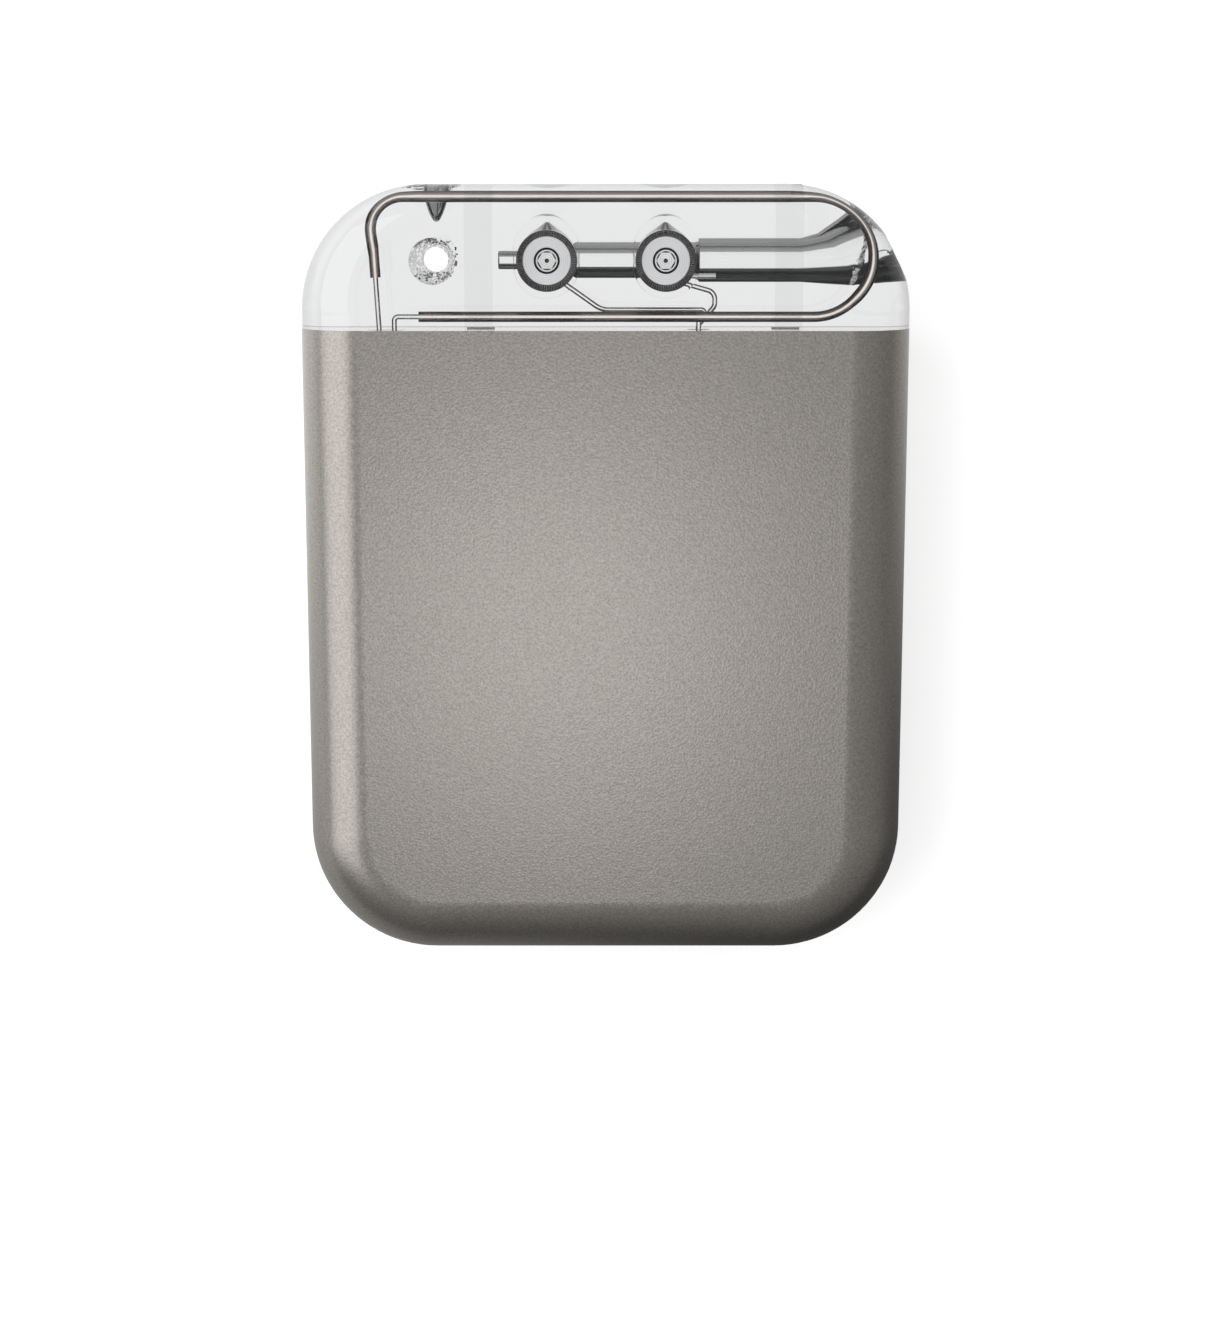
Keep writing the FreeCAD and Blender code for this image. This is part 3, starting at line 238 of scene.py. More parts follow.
def weld_tree():
    """geometry nodes: flattened spots set at an even pitch along a curve, facing out from it"""
    tree, nodes, given, made = node_group(
        "weld_spots", "GeometryNodeTree",
        {"Geometry": "Geometry", "Pitch": "Float", "Spot Radius": "Float", "Spot Size": "Vector",
         "Material": "Material"}, {"Geometry": "Geometry"})
    places = nodes.new("GeometryNodeCurveToPoints")
    places.mode = "LENGTH"
    spot = nodes.new("GeometryNodeMeshUVSphere")
    spot.inputs["Segments"].default_value = 10
    spot.inputs["Rings"].default_value = 6
    settled = nodes.new("GeometryNodeInstanceOnPoints")
    real = nodes.new("GeometryNodeRealizeInstances")
    smooth = nodes.new("GeometryNodeSetShadeSmooth")
    coat = nodes.new("GeometryNodeSetMaterial")
    linked(tree,
           (given.outputs["Geometry"], places.inputs["Curve"]),
           (given.outputs["Pitch"], places.inputs["Length"]),
           (given.outputs["Spot Radius"], spot.inputs["Radius"]),
           (places.outputs["Points"], settled.inputs["Points"]),
           (places.outputs["Rotation"], settled.inputs["Rotation"]),
           (spot.outputs["Mesh"], settled.inputs["Instance"]),
           (given.outputs["Spot Size"], settled.inputs["Scale"]),
           (settled.outputs[0], real.inputs[0]),
           (real.outputs[0], smooth.inputs["Geometry"]),
           (smooth.outputs[0], coat.inputs["Geometry"]),
           (given.outputs["Material"], coat.inputs["Material"]),
           (coat.outputs[0], made.inputs[0]))
    return tree


def grown(host, tree, settings):
    """the plain mesh that a geometry nodes tree makes of its host; the host goes"""
    maker = host.modifiers.new("maker", "NODES")
    maker.node_group = tree
    for socket in tree.interface.items_tree:
        if socket.in_out == "INPUT" and socket.name in settings:
            maker[socket.identifier] = settings[socket.name]
    seen = host.evaluated_get(bpy.context.evaluated_depsgraph_get())
    mesh = bpy.data.meshes.new_from_object(seen)
    host.modifiers.remove(maker)
    name = host.name
    bpy.data.objects.remove(host)
    piece = bpy.data.objects.new(name, mesh)
    bpy.context.collection.objects.link(piece)
    return piece


def polyline(name, corners):
    """a curve object of straight runs through (x, y, z, bend) corners in millimetres"""
    line = bpy.data.curves.new(name, "CURVE")
    line.dimensions = "3D"
    spline = line.splines.new("POLY")
    spline.points.add(len(corners) - 1)
    for point, (x, y, z, bend) in zip(spline.points, corners):
        point.co = (x * MM, y * MM, z * MM, 1.0)
        point.radius = bend * MM
    host = bpy.data.objects.new(name, line)
    bpy.context.collection.objects.link(host)
    return host


def seam_path():
    """the rim's outline at mid-depth, from the top of one side round the bottom to the other"""
    corners = [(-HALF_WIDTH, CASE_TOP - 0.2, MID_DEPTH, 0.0)]
    for side, start in ((-1, math.pi), (1, 1.5 * math.pi)):
        for step in range(CORNER_POINTS + 1):
            angle = start + math.pi / 2 * step / CORNER_POINTS
            corners.append((side * (HALF_WIDTH - CASE_CORNER) + CASE_CORNER * math.cos(angle),
                            CASE_BOTTOM + CASE_CORNER + CASE_CORNER * math.sin(angle), MID_DEPTH, 0.0))
    return corners + [(HALF_WIDTH, CASE_TOP - 0.2, MID_DEPTH, 0.0)]


weld_metal = mottled("weld_titanium", (0.42, 0.40, 0.37, 1.0), 0.4 * MM, 0.3,
                     Metallic=1.0, Roughness=0.24)
seam = grown(polyline("weld_seam", seam_path()), weld_tree(),
             {"Pitch": SPOT_PITCH * MM, "Spot Radius": SPOT_RADIUS * MM,
              "Spot Size": (SPOT_RISE / SPOT_RADIUS, 1.0, 1.0), "Material": weld_metal})
finished(seam, weld_metal, [])

# Header: one casting of clear epoxy, poured round the wired blocks in a mould that stands on the case.
# It is bonded to the case's top; cores left the lead bore, the suture hole and the dimples open.

BOND = 0.02
SHRINK = 0.008
HEADER_CORNER = 9.8
SIDE_ROUND = 4.9
TOP_ROUND = 2.8
CORNER_STEPS = 40
ROUND_STEPS = 14
HEADER_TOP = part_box("header")[1][1] / MM
BORE_LEVEL = CASE_TOP + 5.2


def mesh_piece(name, points, faces):
    """an object with a mesh from places in millimetres"""
    mesh = bpy.data.meshes.new(name)
    mesh.from_pydata([Vector(point) * MM for point in points], [], faces)
    mesh.update()
    piece = bpy.data.objects.new(name, mesh)
    bpy.context.collection.objects.link(piece)
    return piece


def tube_faces(segments, rings):
    """the faces of a closed tube through rings of points: its walls, then its first and last end"""
    faces = []
    for ring in range(rings - 1):
        for step in range(segments):
            here, there = ring * segments + step, ring * segments + (step + 1) % segments
            faces.append((here, there, there + segments, here + segments))
    faces.append(list(reversed(range(segments))))
    faces.append([(rings - 1) * segments + step for step in range(segments)])
    return faces


def header_stations():
    """places along the header's outline, each with its way inwards and the round of its edge"""
    half = HALF_WIDTH - SHRINK
    top = HEADER_TOP - SHRINK
    corner_side, corner_level = half - HEADER_CORNER, top - HEADER_CORNER
    stations = []
    for level in (CASE_TOP - BOND, corner_level):
        stations.append((Vector((-half, level, 0)), Vector((1, 0, 0)), SIDE_ROUND))
    for side in (-1, 1):
        for step in range(1, CORNER_STEPS):
            share = step / CORNER_STEPS
            turn = share if side < 0 else 1 - share
            angle = turn * math.pi / 2
            outward = Vector((side * math.cos(angle), math.sin(angle), 0))
            centre = Vector((side * corner_side, corner_level, 0))
            radius = SIDE_ROUND + (TOP_ROUND - SIDE_ROUND) * turn
            stations.append((centre + outward * HEADER_CORNER, -outward, radius))
        if side < 0:
            for across in (-corner_side, corner_side):
                stations.append((Vector((across, top, 0)), Vector((0, -1, 0)), TOP_ROUND))
    for level in (corner_level, CASE_TOP - BOND):
        stations.append((Vector((half, level, 0)), Vector((-1, 0, 0)), SIDE_ROUND))
    return stations


def header_blank():
    """the casting's outside: a row of rounded sections along the outline, closed by three flats"""
    stations = header_stations()
    half_depth = MID_DEPTH - SHRINK
    points = []
    for place, inward, radius in stations:
        for side in (-1, 1):
            for step in range(ROUND_STEPS + 1):
                turn = step / ROUND_STEPS if side > 0 else 1 - step / ROUND_STEPS
                angle = turn * math.pi / 2
                inset = radius * (1 - math.cos(angle))
                height = half_depth - radius + radius * math.sin(angle)
                points.append(place + inward * inset + Vector((0, 0, MID_DEPTH + side * height)))
    column = 2 * (ROUND_STEPS + 1)
    rows = len(stations)
    faces = []
    for row in range(rows - 1):
        for step in range(column - 1):
            corner = row * column + step
            faces.append((corner, corner + 1, corner + column + 1, corner + column))
    faces.append([row * column for row in range(rows)])
    faces.append([row * column + column - 1 for row in reversed(range(rows))])
    last = (rows - 1) * column
    faces.append(list(reversed(range(column))) + [last + step for step in range(column)])
    return mesh_piece("header_cast", points, faces)


def core(rings, segments=96, crinkle=()):
    """a closed core through rings of (centre, axis, radius); crinkled rings get an uneven wall"""
    points = []
    for index, (centre, axis, radius) in enumerate(rings):
        way = Vector(axis).normalized()
        across = way.cross(Vector((0.0, 0.0, 1.0) if abs(way.z) < 0.5 else (0.0, 1.0, 0.0))).normalized()
        above = way.cross(across)
        depth = crinkle[index] if crinkle else 0.0
        for step in range(segments):
            angle = 2 * math.pi * step / segments
            spoke = across * math.cos(angle) + above * math.sin(angle)
            place = Vector(centre) + spoke * radius
            if depth:
                place += spoke * depth * noise.noise(place * 3.1) + way * depth * noise.noise(place * 2.3)
            points.append(place)
    return mesh_piece("core", points, tube_faces(segments, len(rings)))


PIN_BLOCK, RING_BLOCK = -4.45, 4.57
PIN_BORE, RING_BORE, SEAL_BORE = 0.69, 1.35, 1.65
BORE_END = PIN_BLOCK - 3.75
BLOCK_RADIUS = 2.31
STEP = PIN_BLOCK + BLOCK_RADIUS
SEAL_START = RING_BLOCK + BLOCK_RADIUS
SEAL_END = SEAL_START + 8.0
FUNNEL_END = SEAL_END + 4.1
SEAM_TILT = math.radians(10.8)
SEAM_RISE, SEAM_RADIUS = 0.5, 2.43


def lead_core():
    """the stepped bore from its blind end to the funnel, whose pin stood askew to the bore's"""
    along = Vector((1, 0, 0))

    def ring(across, radius, rise=0.0, axis=along):
        return Vector((across, BORE_LEVEL + rise, MID_DEPTH)), axis, radius

    leaning = Vector((math.cos(SEAM_TILT), -math.sin(SEAM_TILT), 0))
    rings = [
        ring(BORE_END, PIN_BORE - 0.08),
        ring(BORE_END + 0.05, PIN_BORE),
        ring(STEP - 0.4, PIN_BORE),
        ring(STEP - 0.4, RING_BORE - 0.15),
        ring(STEP - 0.15, RING_BORE),
        ring(SEAL_START, RING_BORE),
        ring(SEAL_START + 0.3, SEAL_BORE),
        ring(SEAL_END, SEAL_BORE),
    ]
    crinkle = [0.0] * len(rings)
    for step in range(1, 13):
        share = step / 12
        centre = SEAL_END + (FUNNEL_END - SEAL_END) * share
        axis = along.lerp(leaning, share)
        radius = SEAL_BORE + (SEAM_RADIUS - 0.005 - SEAL_BORE) * share
        rings.append(ring(centre, radius, SEAM_RISE * share, axis))
        crinkle.append(0.0)
    for step in range(7):
        rings.append(ring(FUNNEL_END + 0.09 * step, SEAM_RADIUS, SEAM_RISE, leaning))
        crinkle.append(0.22 * math.sin(math.pi * step / 6))
    for step in range(1, 9):
        share = step / 8
        rings.append(ring(FUNNEL_END + 0.6 + 6.4 * share, SEAM_RADIUS + 0.37 * share,
                          SEAM_RISE + 0.35 * share, leaning.lerp(along, share)))
        crinkle.append(0.03)
    return core(rings, 128, crinkle)


SUTURE = -13.05
LEFT_DIMPLE = -12.9
SUTURE_RADIUS, SUTURE_MOUTH = 0.925, 1.75
SUTURE_NECK = 0.5


def suture_core():
    """an hourglass through the casting, its flared walls left rough by the tool"""
    rings, crinkle = [], []
    overrun = 0.2
    slope = (SUTURE_MOUTH - SUTURE_RADIUS) / (MID_DEPTH - SUTURE_NECK)
    for step in range(41):
        height = (MID_DEPTH + overrun) * (step / 20 - 1)
        flare = max(0.0, abs(height) - SUTURE_NECK)
        rings.append((Vector((SUTURE, BORE_LEVEL, MID_DEPTH + height)), Vector((0, 0, 1)),
                      SUTURE_RADIUS + slope * flare))
        inside = 0.6 < abs(height) < MID_DEPTH - 0.3
        crinkle.append(0.17 if inside else 0.0)
    return core(rings, 112, crinkle)


def dimple_core(across, radius, depth, rough, fullness):
    """a pointed form that goes down from the casting's top; its fullness is 1 for a plain cone"""
    rings, crinkle = [], []
    for step in range(17):
        share = 0.004 + (step / 16) ** 1.5 * 1.05
        rings.append((Vector((across, HEADER_TOP - depth + depth * share, MID_DEPTH)), Vector((0, 1, 0)),
                      radius * share ** fullness))
        crinkle.append(rough if share > 0.45 else 0.0)
    return core(rings, 96, crinkle)


def joined(pieces, name):
    """several meshes as one object"""
    form = bmesh.new()
    finishes = []
    for piece in pieces:
        first = len(form.faces)
        form.from_mesh(piece.data)
        form.faces.ensure_lookup_table()
        finish = piece.data.materials[0]
        if finish not in finishes:
            finishes.append(finish)
        for face in form.faces[first:]:
            face.material_index = finishes.index(finish)
    mesh = bpy.data.meshes.new(name)
    form.to_mesh(mesh)
    form.free()
    for finish in finishes:
        mesh.materials.append(finish)
    for piece in pieces:
        bpy.data.objects.remove(piece)
    whole = bpy.data.objects.new(name, mesh)
    bpy.context.collection.objects.link(whole)
    return whole


def outwards(piece, material=None):
    """turns a closed mesh's faces outwards"""
    if material:
        piece.data.materials.append(material)
    form = bmesh.new()
    form.from_mesh(piece.data)
    bmesh.ops.recalc_face_normals(form, faces=form.faces)
    form.to_mesh(piece.data)
    form.free()
    return piece


def carved(blank, cores):
    """the blank with the cores taken out of it"""
    cut = blank.modifiers.new("cores", "BOOLEAN")
    cut.operation = "DIFFERENCE"
    cut.solver = "EXACT"
    cut.material_mode = "TRANSFER"
    cut.object = cores
    seen = blank.evaluated_get(bpy.context.evaluated_depsgraph_get())
    mesh = bpy.data.meshes.new_from_object(seen)
    blank.modifiers.remove(cut)
    blank.data = mesh
    bpy.data.objects.remove(cores)
    return blank


def clear(name, colour, refraction):
    """a clear material that lamps shine through, so that what is cast in it is lit"""
    material, shader = surface(name, Base_Color=colour, Roughness=0.0, IOR=refraction,
                               Transmission_Weight=1.0)
    ray = add(material, "ShaderNodeLightPath")
    through = add(material, "ShaderNodeBsdfTransparent")
    through.inputs["Color"].default_value = colour
    mixed = add(material, "ShaderNodeMixShader")
    linked(material.node_tree,
           (ray.outputs["Is Shadow Ray"], mixed.inputs[0]),
           (shader.outputs[0], mixed.inputs[1]),
           (through.outputs[0], mixed.inputs[2]),
           (mixed.outputs[0], material.node_tree.nodes["Material Output"].inputs["Surface"]))
    return material, shader


EPOXY_TINT = (0.975, 0.98, 0.98, 1.0)
EPOXY_INDEX = 1.5
epoxy, epoxy_shader = clear("clear_epoxy", EPOXY_TINT, EPOXY_INDEX)
flow = add(epoxy, "ShaderNodeTexNoise", Scale=260.0, Detail=1.0)
flow_place = add(epoxy, "ShaderNodeTexCoord")
flow_bump = add(epoxy, "ShaderNodeBump", Distance=0.004 * MM)
# painted shade: the epoxy's colour falls to dark grey where its faces are seen aslant, a dark outline round
# the casting and its cavities
edge_view = add(epoxy, "ShaderNodeLayerWeight", Blend=0.5)
painted_edge_shade = graded(epoxy, (0.42, *EPOXY_TINT[:3]), (1.0, 0.12))
linked(epoxy.node_tree,
       (flow_place.outputs["Object"], flow.inputs["Vector"]),
       (flow.outputs["Fac"], flow_bump.inputs["Height"]),
       (flow_bump.outputs["Normal"], epoxy_shader.inputs["Normal"]),
       (edge_view.outputs["Facing"], painted_edge_shade.inputs["Fac"]),
       (painted_edge_shade.outputs["Color"], epoxy_shader.inputs["Base Color"]))

# The walls that the lead's core and the dimples' pins left carry painted shade: a near-black sheet mixed
# into the clear epoxy where the eye meets them aslant, most of all along the underside of the bore.

cored, cored_shader = clear("cored_epoxy", EPOXY_TINT, EPOXY_INDEX)
# painted shade: a near-black diffuse shader, mixed in more where the wall is seen aslant and below the
# bore's axis
painted_dark_wall = add(cored, "ShaderNodeBsdfDiffuse", Color=(0.015, 0.015, 0.016, 1.0))
slant = add(cored, "ShaderNodeLayerWeight", Blend=0.5)
band = graded(cored, (0.155, 0.0), (0.20, 1.0))
wall_place = add(cored, "ShaderNodeTexCoord")
wall_axes = add(cored, "ShaderNodeSeparateXYZ")
under = add(cored, "ShaderNodeMapRange", From_Min=(BORE_LEVEL - 1) * MM, From_Max=(BORE_LEVEL + 1) * MM,
            To_Min=0.94, To_Max=0.66)
depth = add(cored, "ShaderNodeMath", operation="MULTIPLY")
wall = add(cored, "ShaderNodeMixShader")
linked(cored.node_tree,
       (slant.outputs["Facing"], band.inputs["Fac"]),
       (wall_place.outputs["Object"], wall_axes.inputs[0]),
       (wall_axes.outputs["Y"], under.inputs["Value"]),
       (band.outputs["Color"], depth.inputs[0]),
       (under.outputs[0], depth.inputs[1]),
       (depth.outputs[0], wall.inputs[0]),
       (cored_shader.outputs[0], wall.inputs[1]),
       (painted_dark_wall.outputs[0], wall.inputs[2]),
       (wall.outputs[0], cored.node_tree.nodes["Mix Shader"].inputs[1]))

header_cores = joined([
    outwards(lead_core(), cored),
    outwards(suture_core(), epoxy),
    outwards(dimple_core(LEFT_DIMPLE, radius=2.0, depth=2.87, rough=0.1, fullness=0.55), cored),
    outwards(dimple_core(PIN_BLOCK, radius=1.8, depth=1.5, rough=0.0, fullness=0.8), cored),
    outwards(dimple_core(RING_BLOCK, radius=1.8, depth=1.5, rough=0.0, fullness=0.8), cored),
], "header_cores")
header_cast = weighted(carved(outwards(header_blank(), epoxy), header_cores))

# Where the funnel's pin met the bore's, the parting left a torn, whitish ring.

torn, torn_shader = surface("torn_epoxy", Roughness=0.35)
torn_place = add(torn, "ShaderNodeTexCoord")
torn_spots = add(torn, "ShaderNodeTexNoise", Scale=2600.0, Detail=3.0)
torn_shade = graded(torn, (0.42, 0.06), (0.58, 0.95))
linked(torn.node_tree,
       (torn_place.outputs["Object"], torn_spots.inputs["Vector"]),
       (torn_spots.outputs["Fac"], torn_shade.inputs["Fac"]),
       (torn_shade.outputs["Color"], torn_shader.inputs["Base Color"]))


def on_seam(middle, normal):
    """whether a face lies on the front half of the ring where the two mould pins met"""
    rise = middle.y - BORE_LEVEL - SEAM_RISE
    along = (middle.x - FUNNEL_END) * math.cos(SEAM_TILT) - rise * math.sin(SEAM_TILT)
    reach = math.hypot(rise, middle.z - MID_DEPTH)
    return 0.10 < along < 0.42 and 1.9 < reach < 2.9 and middle.z > MID_DEPTH


recoated(header_cast, torn, on_seam)
finished(header_cast, None, ["header"])

# Connector blocks: two short barrels turned from stainless bar, cross-drilled for the lead and tapped for
# a setscrew. Each has a countersunk mouth with a fine knurl, and a nub on top that located it in the mould.

MOUTH_RADIUS = 2.25
SEAT_RADIUS = 1.825
RIM_HEIGHT = MID_DEPTH + 3.95
SEAT_HEIGHT = RIM_HEIGHT - 1.0
SCREW_FACE = MID_DEPTH + 2.9
KNURL_COUNT = 72
KNURL_WIDTH = 0.06
KNURL_DEPTH = 0.10


def turning_group():
    """shader group: the fine rings that a lathe leaves round an axis that points out of the front"""
    group, nodes, given, made = node_group(
        "turning", "ShaderNodeTree",
        {"Centre": "Vector", "Pitch": "Float", "Colour": "Color", "Contrast": "Float"},
        {"Colour": "Color", "Height": "Float"})
    place = nodes.new("ShaderNodeTexCoord")
    offset, flat, reach, shade = (nodes.new("ShaderNodeVectorMath") for _ in range(4))
    offset.operation, flat.operation = "SUBTRACT", "MULTIPLY"
    reach.operation, shade.operation = "LENGTH", "SCALE"
    flat.inputs[1].default_value = (1.0, 1.0, 0.0)
    count, wave, swing = (nodes.new("ShaderNodeMath") for _ in range(3))
    count.operation, wave.operation, swing.operation = "DIVIDE", "SINE", "MULTIPLY_ADD"
    swing.inputs[2].default_value = 1.0
    linked(group,
           (place.outputs["Object"], offset.inputs[0]),
           (given.outputs["Centre"], offset.inputs[1]),
           (offset.outputs[0], flat.inputs[0]),
           (flat.outputs[0], reach.inputs[0]),
           (reach.outputs["Value"], count.inputs[0]),
           (given.outputs["Pitch"], count.inputs[1]),
           (count.outputs[0], wave.inputs[0]),
           (wave.outputs[0], swing.inputs[0]),
           (given.outputs["Contrast"], swing.inputs[1]),
           (given.outputs["Colour"], shade.inputs[0]),
           (swing.outputs[0], shade.inputs["Scale"]),
           (shade.outputs[0], made.inputs["Colour"]),
           (wave.outputs[0], made.inputs["Height"]))
    return group


turning = turning_group()


def turned_metal(name, across, colour, roughness):
    """bright metal turned about one block's axis"""
    material, shader = surface(name, Base_Color=colour, Metallic=1.0, Roughness=roughness)
    rings = add(material, "ShaderNodeGroup", node_tree=turning)
    rings.inputs["Centre"].default_value = (across * MM, BORE_LEVEL * MM, 0.0)
    rings.inputs["Pitch"].default_value = 0.026 * MM
    rings.inputs["Colour"].default_value = colour
    rings.inputs["Contrast"].default_value = 0.10
    bump = add(material, "ShaderNodeBump", Distance=0.0015 * MM)
    linked(material.node_tree,
           (rings.outputs["Colour"], shader.inputs["Base Color"]),
           (rings.outputs["Height"], bump.inputs["Height"]),
           (bump.outputs["Normal"], shader.inputs["Normal"]))
    return material


def knurl_tree():
    """geometry nodes: slanting teeth round a circle, leaned out along a countersink"""
    tree, nodes, given, made = node_group(
        "knurl", "GeometryNodeTree",
        {"Geometry": "Geometry", "Count": "Int", "Radius": "Float", "Tooth": "Vector", "Lean": "Float",
         "Place": "Vector", "Material": "Material"}, {"Geometry": "Geometry"})
    tooth = nodes.new("GeometryNodeMeshCube")
    lean = nodes.new("ShaderNodeCombineXYZ")
    leaning = nodes.new("GeometryNodeTransform")
    ring = nodes.new("GeometryNodeMeshCircle")
    where, spread, heading, turn = (nodes.new(kind) for kind in (
        "GeometryNodeInputPosition", "ShaderNodeSeparateXYZ", "ShaderNodeMath", "ShaderNodeCombineXYZ"))
    heading.operation = "ARCTAN2"
    settled = nodes.new("GeometryNodeInstanceOnPoints")
    real = nodes.new("GeometryNodeRealizeInstances")
    lifted = nodes.new("GeometryNodeTransform")
    coat = nodes.new("GeometryNodeSetMaterial")
    linked(tree,
           (given.outputs["Tooth"], tooth.inputs["Size"]),
           (given.outputs["Lean"], lean.inputs["Y"]),
           (tooth.outputs["Mesh"], leaning.inputs["Geometry"]),
           (lean.outputs[0], leaning.inputs["Rotation"]),
           (given.outputs["Count"], ring.inputs["Vertices"]),
           (given.outputs["Radius"], ring.inputs["Radius"]),
           (where.outputs[0], spread.inputs[0]),
           (spread.outputs["Y"], heading.inputs[0]),
           (spread.outputs["X"], heading.inputs[1]),
           (heading.outputs[0], turn.inputs["Z"]),
           (ring.outputs["Mesh"], settled.inputs["Points"]),
           (leaning.outputs[0], settled.inputs["Instance"]),
           (turn.outputs[0], settled.inputs["Rotation"]),
           (settled.outputs[0], real.inputs[0]),
           (real.outputs[0], lifted.inputs["Geometry"]),
           (given.outputs["Place"], lifted.inputs["Translation"]),
           (lifted.outputs[0], coat.inputs["Geometry"]),
           (given.outputs["Material"], coat.inputs["Material"]),
           (coat.outputs[0], made.inputs[0]))
    return tree


knurl = knurl_tree()
# painted shade: a near-black steel for the knurled rim and the screws' recesses, the shade in those hollows
shade_painted_steel = mottled("steel_painted_shade", (0.055, 0.053, 0.05, 1.0), 0.12 * MM, 0.6,
                      Metallic=1.0, Roughness=0.30)
tooth_steel = mottled("tooth_steel", (0.42, 0.41, 0.40, 1.0), 0.12 * MM, 0.6,
                      Metallic=1.0, Roughness=0.25)


def dressed_block(name, across):
    """a packed block with its turned face, and the knurl in its countersunk mouth"""
    steel = turned_metal(name + "_steel", across, (0.66, 0.66, 0.67, 1.0), 0.30)
    block = smooth_copy(name, name + "_turned", steel)

    def on_rim(middle, normal):
        reach = math.hypot(middle.x - across, middle.y - BORE_LEVEL)
        return SEAT_RADIUS < reach < BLOCK_RADIUS - 0.005 and middle.z > SEAT_HEIGHT + 0.01

    # painted shade: the countersunk rim under the teeth takes the near-black steel
    recoated(block, shade_painted_steel, on_rim)
    host = bpy.data.objects.new(name + "_knurl", bpy.data.meshes.new(name + "_knurl"))
    bpy.context.collection.objects.link(host)
    fall, rise = MOUTH_RADIUS - SEAT_RADIUS, RIM_HEIGHT - SEAT_HEIGHT
    teeth = grown(host, knurl, {
        "Count": KNURL_COUNT, "Radius": (MOUTH_RADIUS + SEAT_RADIUS) / 2 * MM,
        "Tooth": (KNURL_DEPTH * MM, KNURL_WIDTH * MM, 0.92 * math.hypot(fall, rise) * MM),
        "Lean": math.atan2(fall, rise),
        "Place": (across * MM, BORE_LEVEL * MM, (SEAT_HEIGHT + RIM_HEIGHT) / 2 * MM),
        "Material": tooth_steel})
    finished(teeth, tooth_steel, [])


def setscrew(name, across):
    """a headless screw: chamfered ends, a broached hexagon and the drill's cone at its bottom"""
    face, segments = SCREW_FACE, 96
    profile = [(0.86, face - 1.45, False), (0.98, face - 1.33, False), (0.98, face - 0.22, False),
               (0.82, face, False), (0.72, face, False), (0.63, face - 0.12, True),
               (0.61, face - 0.34, True), (0.50, face - 0.38, False), (0.17, face - 0.42, False)]
    points = []
    for radius, height, hexagon in profile:
        for step in range(segments):
            angle = 2 * math.pi * step / segments
            sixth = angle % (math.pi / 3) - math.pi / 6
            reach = radius / math.cos(sixth) if hexagon else radius
            points.append((across + reach * math.cos(angle), BORE_LEVEL + reach * math.sin(angle), height))
    points.append((across, BORE_LEVEL, face - 0.56))
    faces = tube_faces(segments, len(profile))
    rim = faces.pop()[0]
    faces += [(rim + step, rim + (step + 1) % segments, len(points) - 1) for step in range(segments)]
    steel = turned_metal(name + "_steel", across, (0.80, 0.80, 0.81, 1.0), 0.14)
    screw = weighted(outwards(mesh_piece(name + "_turned", points, faces)))
    screw.data.materials.append(steel)
    # painted shade: the screw's sides and hexagon recess take the near-black steel
    recoated(screw, shade_painted_steel, lambda middle, normal: middle.z < face - 0.005 and normal.z < 0.9)
    finished(screw, None, [name])


dressed_block("pin_block", PIN_BLOCK)
dressed_block("ring_block", RING_BLOCK)
setscrew("pin_setscrew", PIN_BLOCK)
setscrew("ring_setscrew", RING_BLOCK)

# Septum plugs: clear silicone, pressed into the oval pockets over the setscrews so that a driver can
# pass through them and they close again. They lie just under the epoxy's polished face.


def septum_plug(name, across, node):
    """an oval plug with softly broken edges"""
    points, count = [], 72
    radius, lift, depth = 2.5, 0.6, 1.8
    for height in (CASE_DEPTH - depth, CASE_DEPTH - BOND):
        for step in range(count):
            angle = 2 * math.pi * step / count
            shift = lift if math.sin(angle) > 0 else -lift
            points.append((across + radius * math.cos(angle),
                           BORE_LEVEL + 0.3 + shift + radius * math.sin(angle), height))
    plug = mesh_piece(name, points, tube_faces(count, 2))
    edge = plug.modifiers.new("edge", "BEVEL")
    edge.width = 0.15 * MM
    edge.segments = 3
    return finished(weighted(outwards(plug)), silicone, [node])


silicone = clear("clear_silicone", (0.985, 0.985, 0.985, 1.0), 1.035)[0]
septum_plug("pin_septum_plug", PIN_BLOCK, "pin_septum")
septum_plug("ring_septum_plug", RING_BLOCK, "ring_septum")

# Translucent strips: two bands of grey film laid in the header's mould, from the case's top over the
# rounded top edge. A small titanium foot at mid-depth anchors each to the case.


def film_strip(name, node):
    """one band of film that follows the header's front and rounded edge, just under their surface"""
    low, high = (Vector(corner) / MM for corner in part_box(node))
    under, thickness = 0.03, 0.12
    outline = []
    for inset in (under, under + thickness):
        row = [(CASE_TOP, CASE_DEPTH - inset)]
        for step in range(13):
            angle = math.pi / 2 * step / 12
            reach = TOP_ROUND - inset
            row.append((HEADER_TOP - TOP_ROUND + reach * math.sin(angle),
                        CASE_DEPTH - TOP_ROUND + reach * math.cos(angle)))
        outline += row if inset == under else list(reversed(row))
    points = [(across, level, height) for across in (low.x, high.x) for level, height in outline]
    band = outwards(mesh_piece(name, points, tube_faces(len(outline), 2)))
    return finished(weighted(band), film, [node])


film = clear("grey_film", (0.925, 0.925, 0.93, 1.0), 1.01)[0]
film_strip("left_strip_film", "left_strip")
film_strip("right_strip_film", "right_strip")

# Antenna and wires: drawn wire bent on pins and spot-welded to the feedthrough pins. The loop antenna
# wears an extruded brown sleeve over most of its length.


